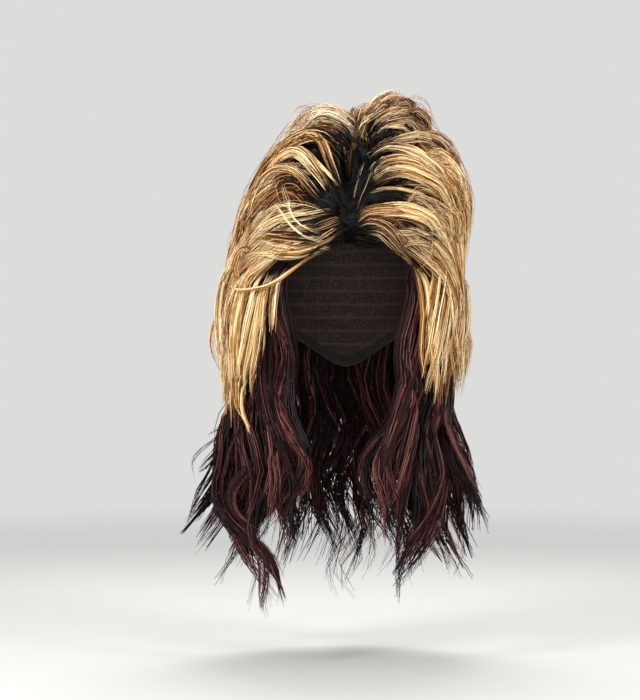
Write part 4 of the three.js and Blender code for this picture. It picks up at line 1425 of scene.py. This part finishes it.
for order, (name, rows) in enumerate(crown_guides.items()):
    seed = CROWN_COMB_SEED + SEED_STEP * order
    teased = TOP_FRIZZ if name in CROWN_TOPS.values() else CROWN_FRIZZ
    comb_piece(name, rows, blond_fibre, seed, frizz=teased, uneven=0.3)
for order, (name, rows) in enumerate(hanging_guides.items()):
    seed = HANGING_COMB_SEED + SEED_STEP * order
    if name in blond_hanging:
        comb_piece(name, rows, blond_fibre, seed, frizz=6.0, uneven=0.25)
    else:
        comb_piece(name, rows, dark_fibre, seed, frizz=11.0, uneven=0.2, width=0.9)
strand_counts, triangle_counts = zip(*combed_sizes.values())
print("strands:", sum(strand_counts), "triangles:", sum(triangle_counts),
      "largest piece:", max(triangle_counts))

# %% [markdown]
# ## Cap and edge band
# The cap is a machine-knitted stretch net with the wefts of hair sewn on in level rows, and its edge
# is a woven elastic tape. Both forms are right as they are in the frame, so they only get a finish. A
# net of real threads would be thousands of faces that the hair covers, so a pattern draws it.

# %% Knitted net
# Size of a net cell and height of a weft row, in millimetres.
NET_CELL = 2.6
WEFT_ROW = 13.0
NET_THREAD = "#493830"
NET_HOLE = "#1A1411"
# How far the threads and seams stand out, in millimetres.
NET_DEPTH = 0.6
# A wave texture has this many radians to the unit at scale 1.
WAVE_RADIANS = 20


def show_threads(tree, shader, pattern, dark, light, strength, depth):
    """Colour and relief from one pattern: lighter and higher where a thread lies."""
    colour = node(tree, "ShaderNodeMix", {0: pattern, 6: linear(dark), 7: linear(light)}, data_type="RGBA")
    bump = node(tree, "ShaderNodeBump", {"Height": pattern, "Strength": strength, "Distance": depth * MM})
    tree.links.new(colour.outputs[2], shader.inputs["Base Color"])
    tree.links.new(bump.outputs["Normal"], shader.inputs["Normal"])


# Knitted polyamide net: dull thread round small open cells, with a ridge where each weft is sewn.
cap_net, tree, shader, place = started("knitted_polyamide_net")
shader.inputs["Roughness"].default_value = 0.75
cells = node(tree, "ShaderNodeTexVoronoi", {
    "Vector": place, "Scale": 1 / (NET_CELL * MM), "Randomness": 0.7,
}, feature="DISTANCE_TO_EDGE")
thread = node(tree, "ShaderNodeMapRange", {
    "Value": cells, "From Min": 0.05, "From Max": 0.16, "To Min": 1.0, "To Max": 0.0,
})
wefts = node(tree, "ShaderNodeTexWave", {
    "Vector": place, "Scale": 2 * math.pi / (WAVE_RADIANS * WEFT_ROW * MM), "Distortion": 0.6, "Detail": 1.0,
}, wave_type="BANDS", bands_direction="Z", wave_profile="SIN")
seam = node(tree, "ShaderNodeMapRange", {"Value": wefts.outputs["Fac"], "From Min": 0.8, "From Max": 1.0})
threads = node(tree, "ShaderNodeMath", {0: thread, 1: seam}, operation="MAXIMUM")
show_threads(tree, shader, threads, NET_HOLE, NET_THREAD, strength=0.6, depth=NET_DEPTH)
print("cap:", cap_net.name)

# %% Woven elastic
# Spacing and depth of the ribs, in millimetres.
ELASTIC_RIB = 2.4
RIB_DEPTH = 0.4
ELASTIC_DARK = "#141110"
ELASTIC_LIGHT = "#2E2926"

# Woven elastic tape: fine ribs across the tape, dull and nearly black.
elastic, tree, shader, place = started("woven_elastic_tape")
shader.inputs["Roughness"].default_value = 0.7
ribs = node(tree, "ShaderNodeTexWave", {
    "Vector": place, "Scale": 2 * math.pi / (WAVE_RADIANS * ELASTIC_RIB * MM), "Distortion": 1.0,
}, wave_type="BANDS", bands_direction="DIAGONAL")
show_threads(tree, shader, ribs.outputs["Fac"], ELASTIC_DARK, ELASTIC_LIGHT, strength=0.5, depth=RIB_DEPTH)
for name, material in (("cap", cap_net), ("edge_band", elastic)):
    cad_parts[name].data.materials.clear()
    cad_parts[name].data.materials.append(material)
print("edge band:", elastic.name)
